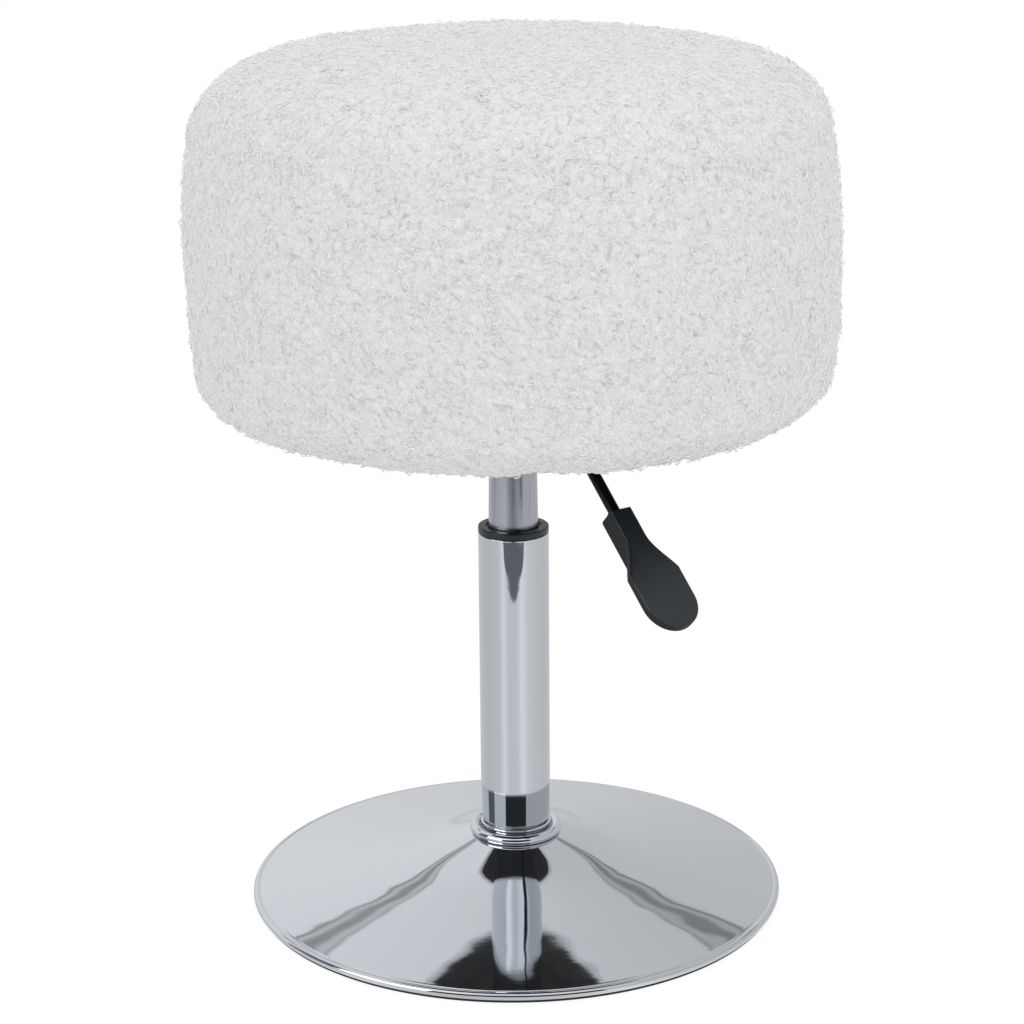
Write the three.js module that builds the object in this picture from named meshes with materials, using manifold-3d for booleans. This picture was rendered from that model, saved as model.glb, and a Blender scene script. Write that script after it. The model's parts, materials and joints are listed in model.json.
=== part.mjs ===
// Upholstered drum stool on a gas spring: a chrome dish base, a chrome column, a height lever
// and a round seat in curly fabric.
// Millimetres, +Z up. The origin is on the floor in the middle of the base. The lever points along +X.
import * as THREE from 'three';
import { mergeVertices } from 'three/addons/utils/BufferGeometryUtils.js';
import Module from 'manifold-3d';

const wasm = await Module();
wasm.setup();

// Clearances, and how far a cutting shape runs past what it cuts
const restGap = 0.3;
const runGap = 0.3;
const ballGap = 0.2;
const overrun = 2;

// Base dish and floor ring
const rimRadius = 153.4;
const rimLift = 1.6;
const beadRadius = 2.2;
const sheetThickness = 1.2;
const coneAngle = THREE.MathUtils.degToRad(10.5);
const coneInnerRadius = 65;
const neckMargin = 2.2;
const neckZ = 35.6;
const neckAngle = THREE.MathUtils.degToRad(45);
const floorRingWidth = 10;
const floorRingLip = 1.4;

// Base plate, column socket and its bolts
const basePlateZ = 6.2;
const basePlateThickness = 4;
const basePlateBore = 14;
const socketWall = 2.2;
const socketFloor = 3;
const socketFlangeRadius = 40;
const socketInsert = 52;
const baseBoltCount = 4;
const baseBoltEdge = 10;
const baseBoltRadius = 3;
const baseBoltHeadRadius = 5.5;
const baseBoltHeadHeight = 4;

// Collar, column and guide bushing. The collar's bead stands out from the column, and its ring from
// the bead.
const collarBeadSection = 1.1;
const collarBeadOut = 0.9;
const collarRingSection = 3;
const collarRingOut = 2.3;
const columnWall = 1.5;
const columnTopZ = 216.7;
const columnChamfer = 1.3;
const bushingWall = 3.9;
const bushingFlange = 3.6;
const bushingLength = 66;
const bushingChamfer = 0.6;
const bushingLipWidth = 1.3;
const bushingLipDepth = 0.9;

// Thrust bearing under the spindle
const raceThickness = 1.5;
const raceSideGap = 1.5;
const ballRadius = 1.5;
const ballCount = 8;
const ballCircle = 10.5;
const cageThickness = 1;
const cageBore = 6.5;

// Spindle, piston and rubber stop
const spindleRadius = 4;
const spindleTip = 1.5;
const spindleTipChamfer = 0.8;
const clipThickness = 1;
const clipDepth = 0.9;
const clipOuterRadius = 7;
const clipMouthAngle = THREE.MathUtils.degToRad(80);
const washerThickness = 0.9;
const washerRadius = 9;
const rodRadius = 5;
const bumpStopHeight = 9;
const bumpStopRadius = 12;
const pistonHeight = 10;
const pistonGroove = 4;
const pistonGrooveDepth = 2;
const rodHeadRadius = 7;
const rodHeadHeight = 2.8;
const fullLiftSpare = 1.5;

// Gas spring tube and what it holds
const stroke = 120;
const tubeRadius = 14;
const tubeWall = 1.5;
const tubeAboveStop = 2.5;
const tubeCrimp = 1.4;
const taperDraw = 0.8;
const taperStartAboveBushing = 2.5;
const guideHeight = 10;
const rodSealHeight = 4.7;
const innerTubeWall = 0.7;
const innerTubeGap = 1;
const valveHeight = 21;
const valveNeckRadius = 6;
const pinRadius = 2.5;
const pinStand = 5.7;
const pinDepth = 14;
const pinDomeHeight = 0.9;

// Lever bracket, taper hub and mounting plate under the seat
const mountPlateSide = 150;
const mountPlateCorner = 12;
const mountPlateThickness = 2.5;
const mountPlateRibDepth = 1.4;
const bracketLengthFront = 46;
const bracketLengthBack = 34;
const bracketHeight = 23.9;
const bracketWall = 2.5;
const bracketFlange = 10;
const hubWall = 5.4;
const hubBelowWeb = 10.5;
const hubFlangeWidth = 2.8;
const hubFlangeThickness = 2.2;

// Lever
const leverDrop = 11.2;
const leverArm = 32;
const leverRodRadius = 3;
const leverBendReach = 26.2;
const leverBendRadius = 12;
const leverSlope = THREE.MathUtils.degToRad(43.5);
const leverReachToHandle = 48;
const leverInsert = 20;
const leverEyeRadius = 6.5;
const leverEyeWidth = 7;
const tongueReach = 8;
const tongueWidth = 11;
const tongueThickness = 4;
const tongueLength = 20;
const pivotRadius = 3;
const pivotHeadRadius = 5;
const pivotHeadHeight = 2.6;
const pivotTailRadius = 3.9;
const spacerWall = 2.6;

// Lever handle
const handleLength = 75;
const handleWidth = 31;
const handleThickness = 5;
const neckWidth = 13;
const neckThickness = 10.8;
const neckStraight = 16.5;
const flareEnd = 40.5;
const neckFullDepth = 25;
const neckDepthEnd = 43;
const handleBevel = 0.8;

// Seat
const seatRadius = 180.2;
const sideBulge = 4.9;
const seatBottomZ = 289.6;
const seatShoulderZ = 492;
const seatCrown = 6;
const topCornerWidth = 81;
const topCornerHeight = 49;
const bottomCornerWidth = 35.5;
const bottomCornerHeight = 22.4;
const coverThickness = 6;
const coverHemWidth = 24;
const coverHemThickness = 2.6;
const coverFoamGap = 0.5;
const dustCoverThickness = 0.6;
const dustCoverSlope = 3;
const boardThickness = 12;
const boardInset = 21.3;

// Seat bolts and tee nuts
const seatBoltEdge = 15;
const seatBoltRadius = 3;
const seatBoltHeadRadius = 5.4;
const seatBoltHeadHeight = 4;
const seatBoltSpare = 3;
const teeBarrelWall = 1.2;
const teeBarrelLength = 8.5;
const teeFlangeRadius = 9;
const teeFlangeThickness = 1.5;

// Facets round a full turn, and the sides of a hexagon head
const roundLarge = 48;
const roundMedium = 32;
const roundSmall = 20;
const roundBolt = 12;
const hexSides = 6;

// Heights that follow from the sizes above, from the floor up
const beadTopZ = rimLift + 2 * beadRadius;
const coneOuterRadius = rimRadius - beadRadius;
const basePlateTopZ = basePlateZ + basePlateThickness;
const socketZ = basePlateTopZ + restGap;
const socketFloorZ = socketZ + socketFloor;
const collarZ = neckZ + restGap;
const collarRingZ = collarZ + collarRingSection;
const collarTopZ = collarRingZ + collarRingSection + collarBeadSection + restGap;
const columnZ = collarTopZ + restGap;
const socketTopZ = columnZ + socketInsert;
const lowerRaceZ = socketFloorZ + restGap;
const ballZ = lowerRaceZ + raceThickness + ballGap + ballRadius;
const upperRaceZ = ballZ + ballRadius + ballGap;
const spindleShoulderZ = upperRaceZ + raceThickness + restGap;
const washerZ = socketZ - restGap - washerThickness;
const clipZ = washerZ - restGap - clipThickness;
const tubeBottomZ = spindleShoulderZ + bumpStopHeight + tubeAboveStop;
const guideZ = tubeBottomZ + tubeCrimp + restGap;
const rodSealZ = guideZ + guideHeight + restGap;
const innerTubeZ = rodSealZ + rodSealHeight + restGap;
const pistonZ = innerTubeZ + stroke + fullLiftSpare;
const bushingZ = columnTopZ + restGap;
const bushingTopZ = bushingZ + bushingFlange;
const taperZ = bushingTopZ + taperStartAboveBushing;

// Heights under the seat, from the seat down
const hemTopZ = seatBottomZ + coverThickness;
const hemZ = hemTopZ - coverHemThickness;
const boardZ = hemTopZ + restGap;
const dustCoverZ = boardZ - restGap - dustCoverThickness;
const mountPlateTopZ = dustCoverZ - restGap;
const mountPlateZ = mountPlateTopZ - mountPlateThickness;
const bracketTopZ = mountPlateZ - restGap;
const bracketZ = bracketTopZ - bracketHeight;
const webTopZ = bracketZ + bracketWall;
const leverZ = mountPlateZ - leverDrop;
const pinTopZ = leverZ - leverRodRadius - restGap;
const tubeTopZ = pinTopZ - pinStand;
const boardTopZ = boardZ + boardThickness;

// Radii that fit in or round one another, from the tube outward
const bushingBore = tubeRadius + runGap;
const linerRadius = bushingBore + bushingWall;
const columnBore = linerRadius + runGap;
const columnRadius = columnBore + columnWall;
const collarBeadRadius = columnRadius + collarBeadOut;
const collarRingRadius = collarBeadRadius + collarRingOut;
const neckRadius = collarRingRadius + neckMargin;
const socketRadius = columnBore - runGap;
const socketBore = socketRadius - socketWall;
const raceOuterRadius = socketBore - raceSideGap;
const taperTopRadius = tubeRadius - taperDraw;

// Radii inside the tube
const tubeBore = tubeRadius - tubeWall;
const innerTubeRadius = tubeBore - innerTubeGap;
const innerTubeBore = innerTubeRadius - innerTubeWall;
const pistonRadius = innerTubeBore - runGap;

// Sizes across the hub, the bracket, the board and the bolt patterns
const taperSlope = taperDraw / (tubeTopZ - taperZ);
const taperRadius = (z) => taperTopRadius + (tubeTopZ - z) * taperSlope;
const hubZ = bracketZ - hubBelowWeb;
const hubRadius = taperRadius(hubZ) + hubWall;
const hubFlangeRadius = hubRadius + hubFlangeWidth;
const bracketHalfWidth = hubFlangeRadius + runGap;
const boardRadius = seatRadius - sideBulge - boardInset;
const coverHemRadius = boardRadius - coverHemWidth;
const baseBoltCircle = socketFlangeRadius - baseBoltEdge;
const seatBoltReach = mountPlateSide / 2 - seatBoltEdge;
const tongueRoot = tongueLength - tongueReach;

// Finishes
const finishes = {
  chrome: { color: 0xd8dbdf, roughness: 0.06, metalness: 1 },
  satinSteel: { color: 0x9ea3ab, roughness: 0.3, metalness: 1 },
  plainSteel: { color: 0x8a8d90, roughness: 0.45, metalness: 1 },
  blackSteel: { color: 0x17181a, roughness: 0.45, metalness: 0.6 },
  blackPlastic: { color: 0x23272c, roughness: 0.5, metalness: 0 },
  blackRubber: { color: 0x1b1c1e, roughness: 0.85, metalness: 0 },
  brass: { color: 0xb5974f, roughness: 0.35, metalness: 1 },
  curlyFabric: { color: 0xefefec, roughness: 1, metalness: 0 },
  blackFabric: { color: 0x202124, roughness: 0.95, metalness: 0 },
  foam: { color: 0xe9e0c2, roughness: 0.95, metalness: 0 },
  plywood: { color: 0xc9a877, roughness: 0.7, metalness: 0 },
};

// An indexed shape with shared points and no empty triangles
function closed(geometry) {
  geometry.deleteAttribute('normal');
  geometry.deleteAttribute('uv');
  const merged = mergeVertices(geometry);
  const kept = [];
  const index = merged.index.array;
  for (let i = 0; i < index.length; i += 3) {
    const [a, b, c] = [index[i], index[i + 1], index[i + 2]];
    if (a !== b && b !== c && c !== a) kept.push(a, b, c);
  }
  merged.setIndex(kept);
  return merged;
}

function toSolid(geometry) {
  const shape = closed(geometry.clone());
  const vertProperties = Float32Array.from(shape.attributes.position.array);
  const triVerts = Uint32Array.from(shape.index.array);
  return new wasm.Manifold(new wasm.Mesh({ numProp: 3, vertProperties, triVerts }));
}

function toGeometry(solid) {
  const mesh = solid.getMesh();
  const geometry = new THREE.BufferGeometry();
  geometry.setAttribute('position', new THREE.BufferAttribute(mesh.vertProperties, mesh.numProp));
  geometry.setIndex(new THREE.BufferAttribute(mesh.triVerts, 1));
  return geometry;
}

function join(first, ...rest) {
  return toGeometry(rest.reduce((sum, shape) => sum.add(toSolid(shape)), toSolid(first)));
}

function cut(body, ...tools) {
  return toGeometry(tools.reduce((left, tool) => left.subtract(toSolid(tool)), toSolid(body)));
}

// Turns a closed outline of [radius, height] points about Z. It may start and end on the axis.
function revolve(outline, facets = roundMedium) {
  const points = outline.map(([r, z]) => new THREE.Vector2(r, z));
  const onAxis = points[0].x === 0 && points[points.length - 1].x === 0;
  if (THREE.ShapeUtils.area(points) < 0) points.reverse();
  if (!onAxis) points.push(points[0].clone());
  return closed(new THREE.LatheGeometry(points, facets).rotateX(Math.PI / 2));
}

// A tube or ring of rectangular section
function ring(inner, outer, low, high, facets = roundMedium) {
  return revolve([[inner, low], [outer, low], [outer, high], [inner, high]], facets);
}

// A round bar along Z between two heights
function bar(radius, low, high, facets = roundSmall) {
  const height = high - low;
  return new THREE.CylinderGeometry(radius, radius, height, facets)
    .rotateX(Math.PI / 2)
    .translate(0, 0, low + height / 2);
}

// A round bar along Y between two places
function crossBar(radius, low, high, facets = roundSmall) {
  const width = high - low;
  return new THREE.CylinderGeometry(radius, radius, width, facets).translate(0, low + width / 2, 0);
}

function block(lengthX, lengthY, lengthZ) {
  return new THREE.BoxGeometry(lengthX, lengthY, lengthZ);
}

// Points of an arc of a circle in the [radius, height] plane
function arc(r, z, size, from, to, steps) {
  return Array.from({ length: steps + 1 }, (_, i) => {
    const angle = THREE.MathUtils.degToRad(from + ((to - from) * i) / steps);
    return [r + size * Math.cos(angle), z + size * Math.sin(angle)];
  });
}

// Places on a circle about Z, the first one half a step past +X
function circlePlaces(radius, count) {
  return Array.from({ length: count }, (_, i) => {
    const angle = ((i + 1 / 2) * 2 * Math.PI) / count;
    return [radius * Math.cos(angle), radius * Math.sin(angle)];
  });
}

// The four corners of a square about Z
function squarePlaces(reach) {
  return [[reach, reach], [-reach, reach], [-reach, -reach], [reach, -reach]];
}

const stool = new THREE.Group();

function addPiece(name, geometry, finish, parent = stool) {
  const piece = new THREE.Mesh(geometry, new THREE.MeshStandardMaterial(finishes[finish]));
  piece.name = name;
  parent.add(piece);
  return piece;
}

// A bolt with a six-sided head below the height z and its shank above it
function boltGeometry(radius, headRadius, headHeight, z, topZ) {
  return join(
    bar(headRadius, z - headHeight, z, hexSides),
    bar(radius, z - headHeight / 2, topZ, roundBolt),
  );
}

// Height of the dish's upper face along its straight cone
function coneZ(r) {
  return beadTopZ + (coneOuterRadius - r) * Math.tan(coneAngle);
}

// The dish's upper face from its rim to its neck: a cone, then a flare that steepens up to the neck
function dishFace(flareSteps) {
  const start = new THREE.Vector2(coneInnerRadius, coneZ(coneInnerRadius));
  const end = new THREE.Vector2(neckRadius, neckZ);
  const slopeIn = Math.tan(coneAngle);
  const slopeOut = Math.tan(neckAngle);
  const bendRadius = (end.y + slopeOut * end.x - start.y - slopeIn * start.x) / (slopeOut - slopeIn);
  const bend = new THREE.Vector2(bendRadius, start.y + slopeIn * (start.x - bendRadius));
  const flare = new THREE.QuadraticBezierCurve(start, bend, end).getPoints(flareSteps);
  return [[coneOuterRadius, beadTopZ], ...flare.map((p) => [p.x, p.y])];
}

function addDish() {
  const face = dishFace(5);
  const lipRadius = socketRadius + runGap;
  const bead = arc(coneOuterRadius, rimLift + beadRadius, beadRadius, -180, 90, 6).slice(0, -1);
  const under = face
    .slice()
    .reverse()
    .map(([r, z]) => [r - sheetThickness * Math.sin(coneAngle), z - sheetThickness / Math.cos(coneAngle)])
    .filter(([r]) => r < coneOuterRadius - 2 * beadRadius);
  const underRimRadius = coneOuterRadius - beadRadius;
  const underRim = [underRimRadius, coneZ(underRimRadius) - sheetThickness / Math.cos(coneAngle)];
  addPiece('base_dish', revolve([
    ...bead,
    ...face,
    [lipRadius, neckZ],
    [lipRadius, neckZ - sheetThickness],
    ...under,
    underRim,
  ], roundLarge), 'chrome');
}

function addFloorRing() {
  const outer = coneOuterRadius - beadRadius - restGap;
  const top = coneZ(outer) - sheetThickness / Math.cos(coneAngle) - restGap;
  const lipTop = rimLift - restGap;
  addPiece('floor_ring', revolve([
    [outer - floorRingWidth, 0],
    [outer + floorRingLip, 0],
    [outer + floorRingLip, lipTop],
    [outer, lipTop],
    [outer, top],
    [outer - floorRingWidth, top],
  ], roundLarge), 'blackRubber');
}

function addBasePlate() {
  const roofZ = basePlateTopZ + restGap + sheetThickness / Math.cos(coneAngle);
  const radius = coneOuterRadius - (roofZ - beadTopZ) / Math.tan(coneAngle);
  const holes = circlePlaces(baseBoltCircle, baseBoltCount).map(([x, y]) => (
    bar(baseBoltRadius + runGap, basePlateZ - overrun, basePlateTopZ + overrun, roundBolt).translate(x, y, 0)
  ));
  const plate = ring(basePlateBore, radius, basePlateZ, basePlateTopZ);
  addPiece('base_plate', cut(plate, ...holes), 'blackSteel');
}

// The cup that is bolted to the base plate and stands up inside the column
function addColumnSocket() {
  const cup = revolve([
    [spindleRadius + 2 * runGap, socketZ],
    [socketFlangeRadius, socketZ],
    [socketFlangeRadius, socketFloorZ],
    [socketRadius, socketFloorZ],
    [socketRadius, socketTopZ],
    [socketBore, socketTopZ],
    [socketBore, socketFloorZ],
    [spindleRadius + 2 * runGap, socketFloorZ],
  ]);
  const holes = circlePlaces(baseBoltCircle, baseBoltCount).map(([x, y]) => (
    bar(baseBoltRadius + runGap, socketZ - overrun, socketFloorZ + overrun, roundBolt).translate(x, y, 0)
  ));
  addPiece('column_socket', cut(cup, ...holes), 'plainSteel');
}

// The base bolts go in from above, head up, and end flush with the plate's lower face
function addBaseBolts() {
  circlePlaces(baseBoltCircle, baseBoltCount).forEach(([x, y], i) => {
    const headZ = socketFloorZ + restGap;
    const bolt = boltGeometry(baseBoltRadius, baseBoltHeadRadius, baseBoltHeadHeight, 0, headZ - basePlateZ);
    addPiece(`base_bolt_${i + 1}`, bolt.rotateX(Math.PI).translate(x, y, headZ), 'plainSteel');
  });
}

// The chrome ring where the column meets the dish, with a small bead that the column stands on
function addCollar() {
  const bore = socketRadius + runGap;
  const beadZ = collarTopZ - collarBeadSection;
  addPiece('base_collar', revolve([
    [bore, collarZ],
    ...arc(collarRingRadius, collarRingZ, collarRingSection, -90, 135, 7),
    ...arc(collarBeadRadius, beadZ, collarBeadSection, -10, 90, 3),
    [bore, collarTopZ],
  ]), 'chrome');
}

function addColumn() {
  addPiece('column_tube', revolve([
    [columnBore, columnZ],
    [columnRadius - columnChamfer, columnZ],
    [columnRadius, columnZ + columnChamfer],
    [columnRadius, columnTopZ],
    [columnBore, columnTopZ],
  ], roundLarge), 'chrome');
}

function addBushing() {
  const lipRadius = bushingBore + bushingLipWidth;
  addPiece('guide_bushing', revolve([
    [bushingBore, bushingZ - bushingLength],
    [linerRadius, bushingZ - bushingLength],
    [linerRadius, bushingZ],
    [columnRadius, bushingZ],
    [columnRadius, bushingTopZ - bushingChamfer],
    [columnRadius - bushingChamfer, bushingTopZ],
    [lipRadius, bushingTopZ],
    [lipRadius, bushingTopZ - bushingLipDepth],
    [bushingBore, bushingTopZ - bushingLipDepth],
  ]), 'blackPlastic');
}

function addBearing() {
  const bore = spindleRadius + runGap;
  const lower = ring(bore, raceOuterRadius, lowerRaceZ, lowerRaceZ + raceThickness);
  const upper = ring(bore, raceOuterRadius, upperRaceZ, upperRaceZ + raceThickness);
  addPiece('bearing_lower_race', lower, 'plainSteel');
  addPiece('bearing_upper_race', upper, 'plainSteel');

  const places = circlePlaces(ballCircle, ballCount);
  const cageLow = ballZ - cageThickness / 2;
  const cageHigh = ballZ + cageThickness / 2;
  const pockets = places.map(([x, y]) => (
    bar(ballRadius + ballGap, cageLow - overrun, cageHigh + overrun, roundBolt).translate(x, y, 0)
  ));
  addPiece('ball_cage', cut(ring(cageBore, raceOuterRadius, cageLow, cageHigh), ...pockets), 'brass');
  const sphere = closed(new THREE.SphereGeometry(ballRadius, 8, 6));
  places.forEach(([x, y], i) => {
    const ball = addPiece(`bearing_ball_${i + 1}`, sphere.clone(), 'plainSteel');
    ball.position.set(x, y, ballZ);
  });
}

// The gas spring's rod, which turns in the bearing and ends in a clip under the socket's floor
function addPistonRod() {
  const tipZ = clipZ - spindleTip;
  const grooveRadius = spindleRadius - clipDepth;
  addPiece('piston_rod', revolve([
    [0, tipZ],
    [spindleRadius - spindleTipChamfer, tipZ],
    [spindleRadius, tipZ + spindleTipChamfer],
    [spindleRadius, clipZ - ballGap],
    [grooveRadius, clipZ - ballGap],
    [grooveRadius, clipZ + clipThickness + ballGap],
    [spindleRadius, clipZ + clipThickness + ballGap],
    [spindleRadius, spindleShoulderZ],
    [rodRadius, spindleShoulderZ],
    [rodRadius, pistonZ + pistonHeight + restGap],
    [rodHeadRadius, pistonZ + pistonHeight + restGap],
    [rodHeadRadius, pistonZ + pistonHeight + restGap + rodHeadHeight],
    [0, pistonZ + pistonHeight + restGap + rodHeadHeight],
  ], roundSmall), 'satinSteel');
}

function addClipAndWasher() {
  const inner = spindleRadius - clipDepth + ballGap;
  const shape = new THREE.Shape();
  const half = clipMouthAngle / 2;
  shape.absarc(0, 0, clipOuterRadius, half, 2 * Math.PI - half, false);
  shape.absarc(0, 0, inner, 2 * Math.PI - half, half, true);
  const options = { depth: clipThickness, bevelEnabled: false, curveSegments: 10 };
  const clip = new THREE.ExtrudeGeometry(shape, options);
  addPiece('retaining_clip', closed(clip).translate(0, 0, clipZ), 'plainSteel');
  const washer = ring(spindleRadius + runGap, washerRadius, washerZ, washerZ + washerThickness, roundSmall);
  addPiece('spindle_washer', washer, 'plainSteel');
}

function addBumpStop() {
  const high = spindleShoulderZ + bumpStopHeight;
  const stop = ring(rodRadius + runGap, bumpStopRadius, spindleShoulderZ, high, roundSmall);
  addPiece('bump_stop', stop, 'blackRubber');
}

function addPiston() {
  const low = pistonZ + (pistonHeight - pistonGroove) / 2;
  const high = low + pistonGroove;
  const grooveRadius = pistonRadius - pistonGrooveDepth;
  addPiece('piston', revolve([
    [rodRadius + runGap, pistonZ],
    [pistonRadius, pistonZ],
    [pistonRadius, low],
    [grooveRadius, low],
    [grooveRadius, high],
    [pistonRadius, high],
    [pistonRadius, pistonZ + pistonHeight],
    [rodRadius + runGap, pistonZ + pistonHeight],
  ], roundSmall), 'plainSteel');
  const seal = ring(grooveRadius + runGap, pistonRadius, low + restGap, high - restGap, roundSmall);
  addPiece('piston_seal', seal, 'blackRubber');
}

// The gas spring's outer tube: straight where it slides, tapered where it wedges into the hub
function addPressureTube() {
  const endRadius = rodRadius + 4 * runGap;
  const bore = taperTopRadius - tubeWall;
  addPiece('pressure_tube', revolve([
    [endRadius, tubeBottomZ],
    [tubeRadius - tubeCrimp, tubeBottomZ],
    [tubeRadius, tubeBottomZ + tubeCrimp],
    [tubeRadius, taperZ],
    [taperTopRadius, tubeTopZ],
    [bore, tubeTopZ],
    [bore, tubeTopZ - valveHeight],
    [tubeBore, taperZ],
    [tubeBore, tubeBottomZ + tubeCrimp],
    [endRadius, tubeBottomZ + tubeCrimp],
  ]), 'satinSteel');
}

function addTubeInsides() {
  const outer = tubeBore - runGap;
  const bore = rodRadius + runGap;
  const valveRadius = taperTopRadius - tubeWall - runGap;
  const valveZ = tubeTopZ - restGap - valveHeight;
  const guide = ring(bore, outer, guideZ, guideZ + guideHeight, roundSmall);
  addPiece('rod_guide', guide, 'blackPlastic');
  addPiece('rod_seal', ring(bore, outer, rodSealZ, rodSealZ + rodSealHeight, roundSmall), 'blackRubber');
  const innerTube = ring(innerTubeBore, innerTubeRadius, innerTubeZ, valveZ - restGap, roundSmall);
  addPiece('inner_tube', innerTube, 'plainSteel');
  addPiece('valve_body', revolve([
    [pinRadius + runGap, valveZ],
    [valveNeckRadius, valveZ],
    [valveRadius, valveZ + valveRadius - valveNeckRadius],
    [valveRadius, tubeTopZ - restGap],
    [pinRadius + runGap, tubeTopZ - restGap],
  ], roundSmall), 'brass');
}

function addReleasePin() {
  addPiece('release_pin', revolve([
    [0, pinTopZ - pinDepth],
    [pinRadius, pinTopZ - pinDepth],
    [pinRadius, pinTopZ - pinDomeHeight],
    [pinRadius * Math.cos(Math.PI / 4), pinTopZ - pinDomeHeight * (1 - Math.sin(Math.PI / 4))],
    [0, pinTopZ],
  ], roundBolt), 'plainSteel');
}

function addHub() {
  const flangeZ = webTopZ + restGap;
  const high = flangeZ + hubFlangeThickness;
  addPiece('taper_hub', revolve([
    [taperRadius(hubZ) + runGap, hubZ],
    [hubRadius, hubZ],
    [hubRadius, flangeZ],
    [hubFlangeRadius, flangeZ],
    [hubFlangeRadius, high],
    [taperRadius(high) + runGap, high],
  ]), 'plainSteel');
}

// A channel under the mounting plate, with its floor round the hub and ears for the pivot pin
function addBracket() {
  const half = bracketHalfWidth;
  const outer = half + bracketWall;
  const section = new THREE.Shape();
  section.moveTo(-outer - bracketFlange, bracketTopZ);
  section.lineTo(-outer - bracketFlange, bracketTopZ - bracketWall);
  section.lineTo(-outer, bracketTopZ - bracketWall);
  section.lineTo(-outer, bracketZ);
  section.lineTo(outer, bracketZ);
  section.lineTo(outer, bracketTopZ - bracketWall);
  section.lineTo(outer + bracketFlange, bracketTopZ - bracketWall);
  section.lineTo(outer + bracketFlange, bracketTopZ);
  section.lineTo(half, bracketTopZ);
  section.lineTo(half, webTopZ);
  section.lineTo(-half, webTopZ);
  section.lineTo(-half, bracketTopZ);
  section.closePath();
  const length = bracketLengthFront + bracketLengthBack;
  const channel = new THREE.ExtrudeGeometry(section, { depth: length, bevelEnabled: false });
  channel.rotateX(Math.PI / 2).rotateZ(Math.PI / 2).translate(-bracketLengthBack, 0, 0);
  const hubHole = bar(hubRadius + runGap, bracketZ - overrun, webTopZ + overrun, roundMedium);
  const pivotHole = crossBar(pivotRadius + runGap, -outer - overrun, outer + overrun)
    .translate(leverArm, 0, leverZ);
  addPiece('lever_bracket', cut(channel, hubHole, pivotHole), 'blackSteel');
}

function addMountPlate() {
  const half = mountPlateSide / 2;
  const inner = half - mountPlateCorner;
  const shape = new THREE.Shape();
  shape.absarc(inner, inner, mountPlateCorner, 0, Math.PI / 2, false);
  shape.absarc(-inner, inner, mountPlateCorner, Math.PI / 2, Math.PI, false);
  shape.absarc(-inner, -inner, mountPlateCorner, Math.PI, (3 * Math.PI) / 2, false);
  shape.absarc(inner, -inner, mountPlateCorner, (3 * Math.PI) / 2, 2 * Math.PI, false);
  const options = { depth: mountPlateThickness, bevelEnabled: false, curveSegments: 4 };
  const plate = new THREE.ExtrudeGeometry(shape, options).translate(0, 0, mountPlateZ);
  const bore = seatBoltRadius + runGap;
  const holes = squarePlaces(seatBoltReach).map(([x, y]) => (
    bar(bore, mountPlateZ - overrun, mountPlateTopZ + overrun, roundBolt).translate(x, y, 0)
  ));
  const grooves = [-1, 1].map((side) => (
    block(mountPlateSide - 4 * mountPlateCorner, mountPlateCorner / 2, 2 * mountPlateRibDepth)
      .translate(0, side * (inner - mountPlateCorner), mountPlateZ)
  ));
  addPiece('mount_plate', cut(plate, ...holes, ...grooves), 'blackSteel');
}

function addPivot() {
  const wall = bracketHalfWidth + bracketWall;
  const pin = join(
    crossBar(pivotRadius, -wall - restGap - pivotHeadHeight, wall + restGap + pivotHeadHeight),
    crossBar(pivotHeadRadius, -wall - restGap - pivotHeadHeight, -wall - restGap),
    crossBar(pivotTailRadius, wall + restGap, wall + restGap + pivotHeadHeight / 2),
  );
  addPiece('pivot_pin', pin.translate(leverArm, 0, leverZ), 'plainSteel');

  const spacerLength = bracketHalfWidth - restGap - leverEyeWidth / 2 - restGap;
  const bore = pivotRadius + runGap;
  for (const [name, turn] of [['pivot_spacer_left', -1], ['pivot_spacer_right', 1]]) {
    const spacer = ring(bore, bore + spacerWall, 0, spacerLength, roundSmall).rotateX((-turn * Math.PI) / 2);
    const start = turn * (leverEyeWidth / 2 + restGap);
    addPiece(name, spacer.translate(leverArm, start, leverZ), 'blackPlastic');
  }
}

// The bent rod, with a flat tongue over the release pin and an eye on the pivot.
// Its origin is the bend, where its level part meets its slope.
function leverPath() {
  const cosine = Math.cos(leverSlope);
  const sine = Math.sin(leverSlope);
  const tangent = leverBendRadius * Math.tan(leverSlope / 2);
  const reach = leverReachToHandle + leverInsert;
  const start = new THREE.Vector3(tongueRoot - leverArm - leverBendReach, 0, 0);
  const bendStart = new THREE.Vector3(-tangent, 0, 0);
  const bendEnd = new THREE.Vector3(tangent * cosine, 0, -tangent * sine);
  const end = new THREE.Vector3(reach * cosine, 0, -reach * sine);
  const path = new THREE.CurvePath();
  path.add(new THREE.LineCurve3(start, bendStart));
  path.add(new THREE.QuadraticBezierCurve3(bendStart, new THREE.Vector3(), bendEnd));
  path.add(new THREE.LineCurve3(bendEnd, end));
  return path;
}

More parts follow.
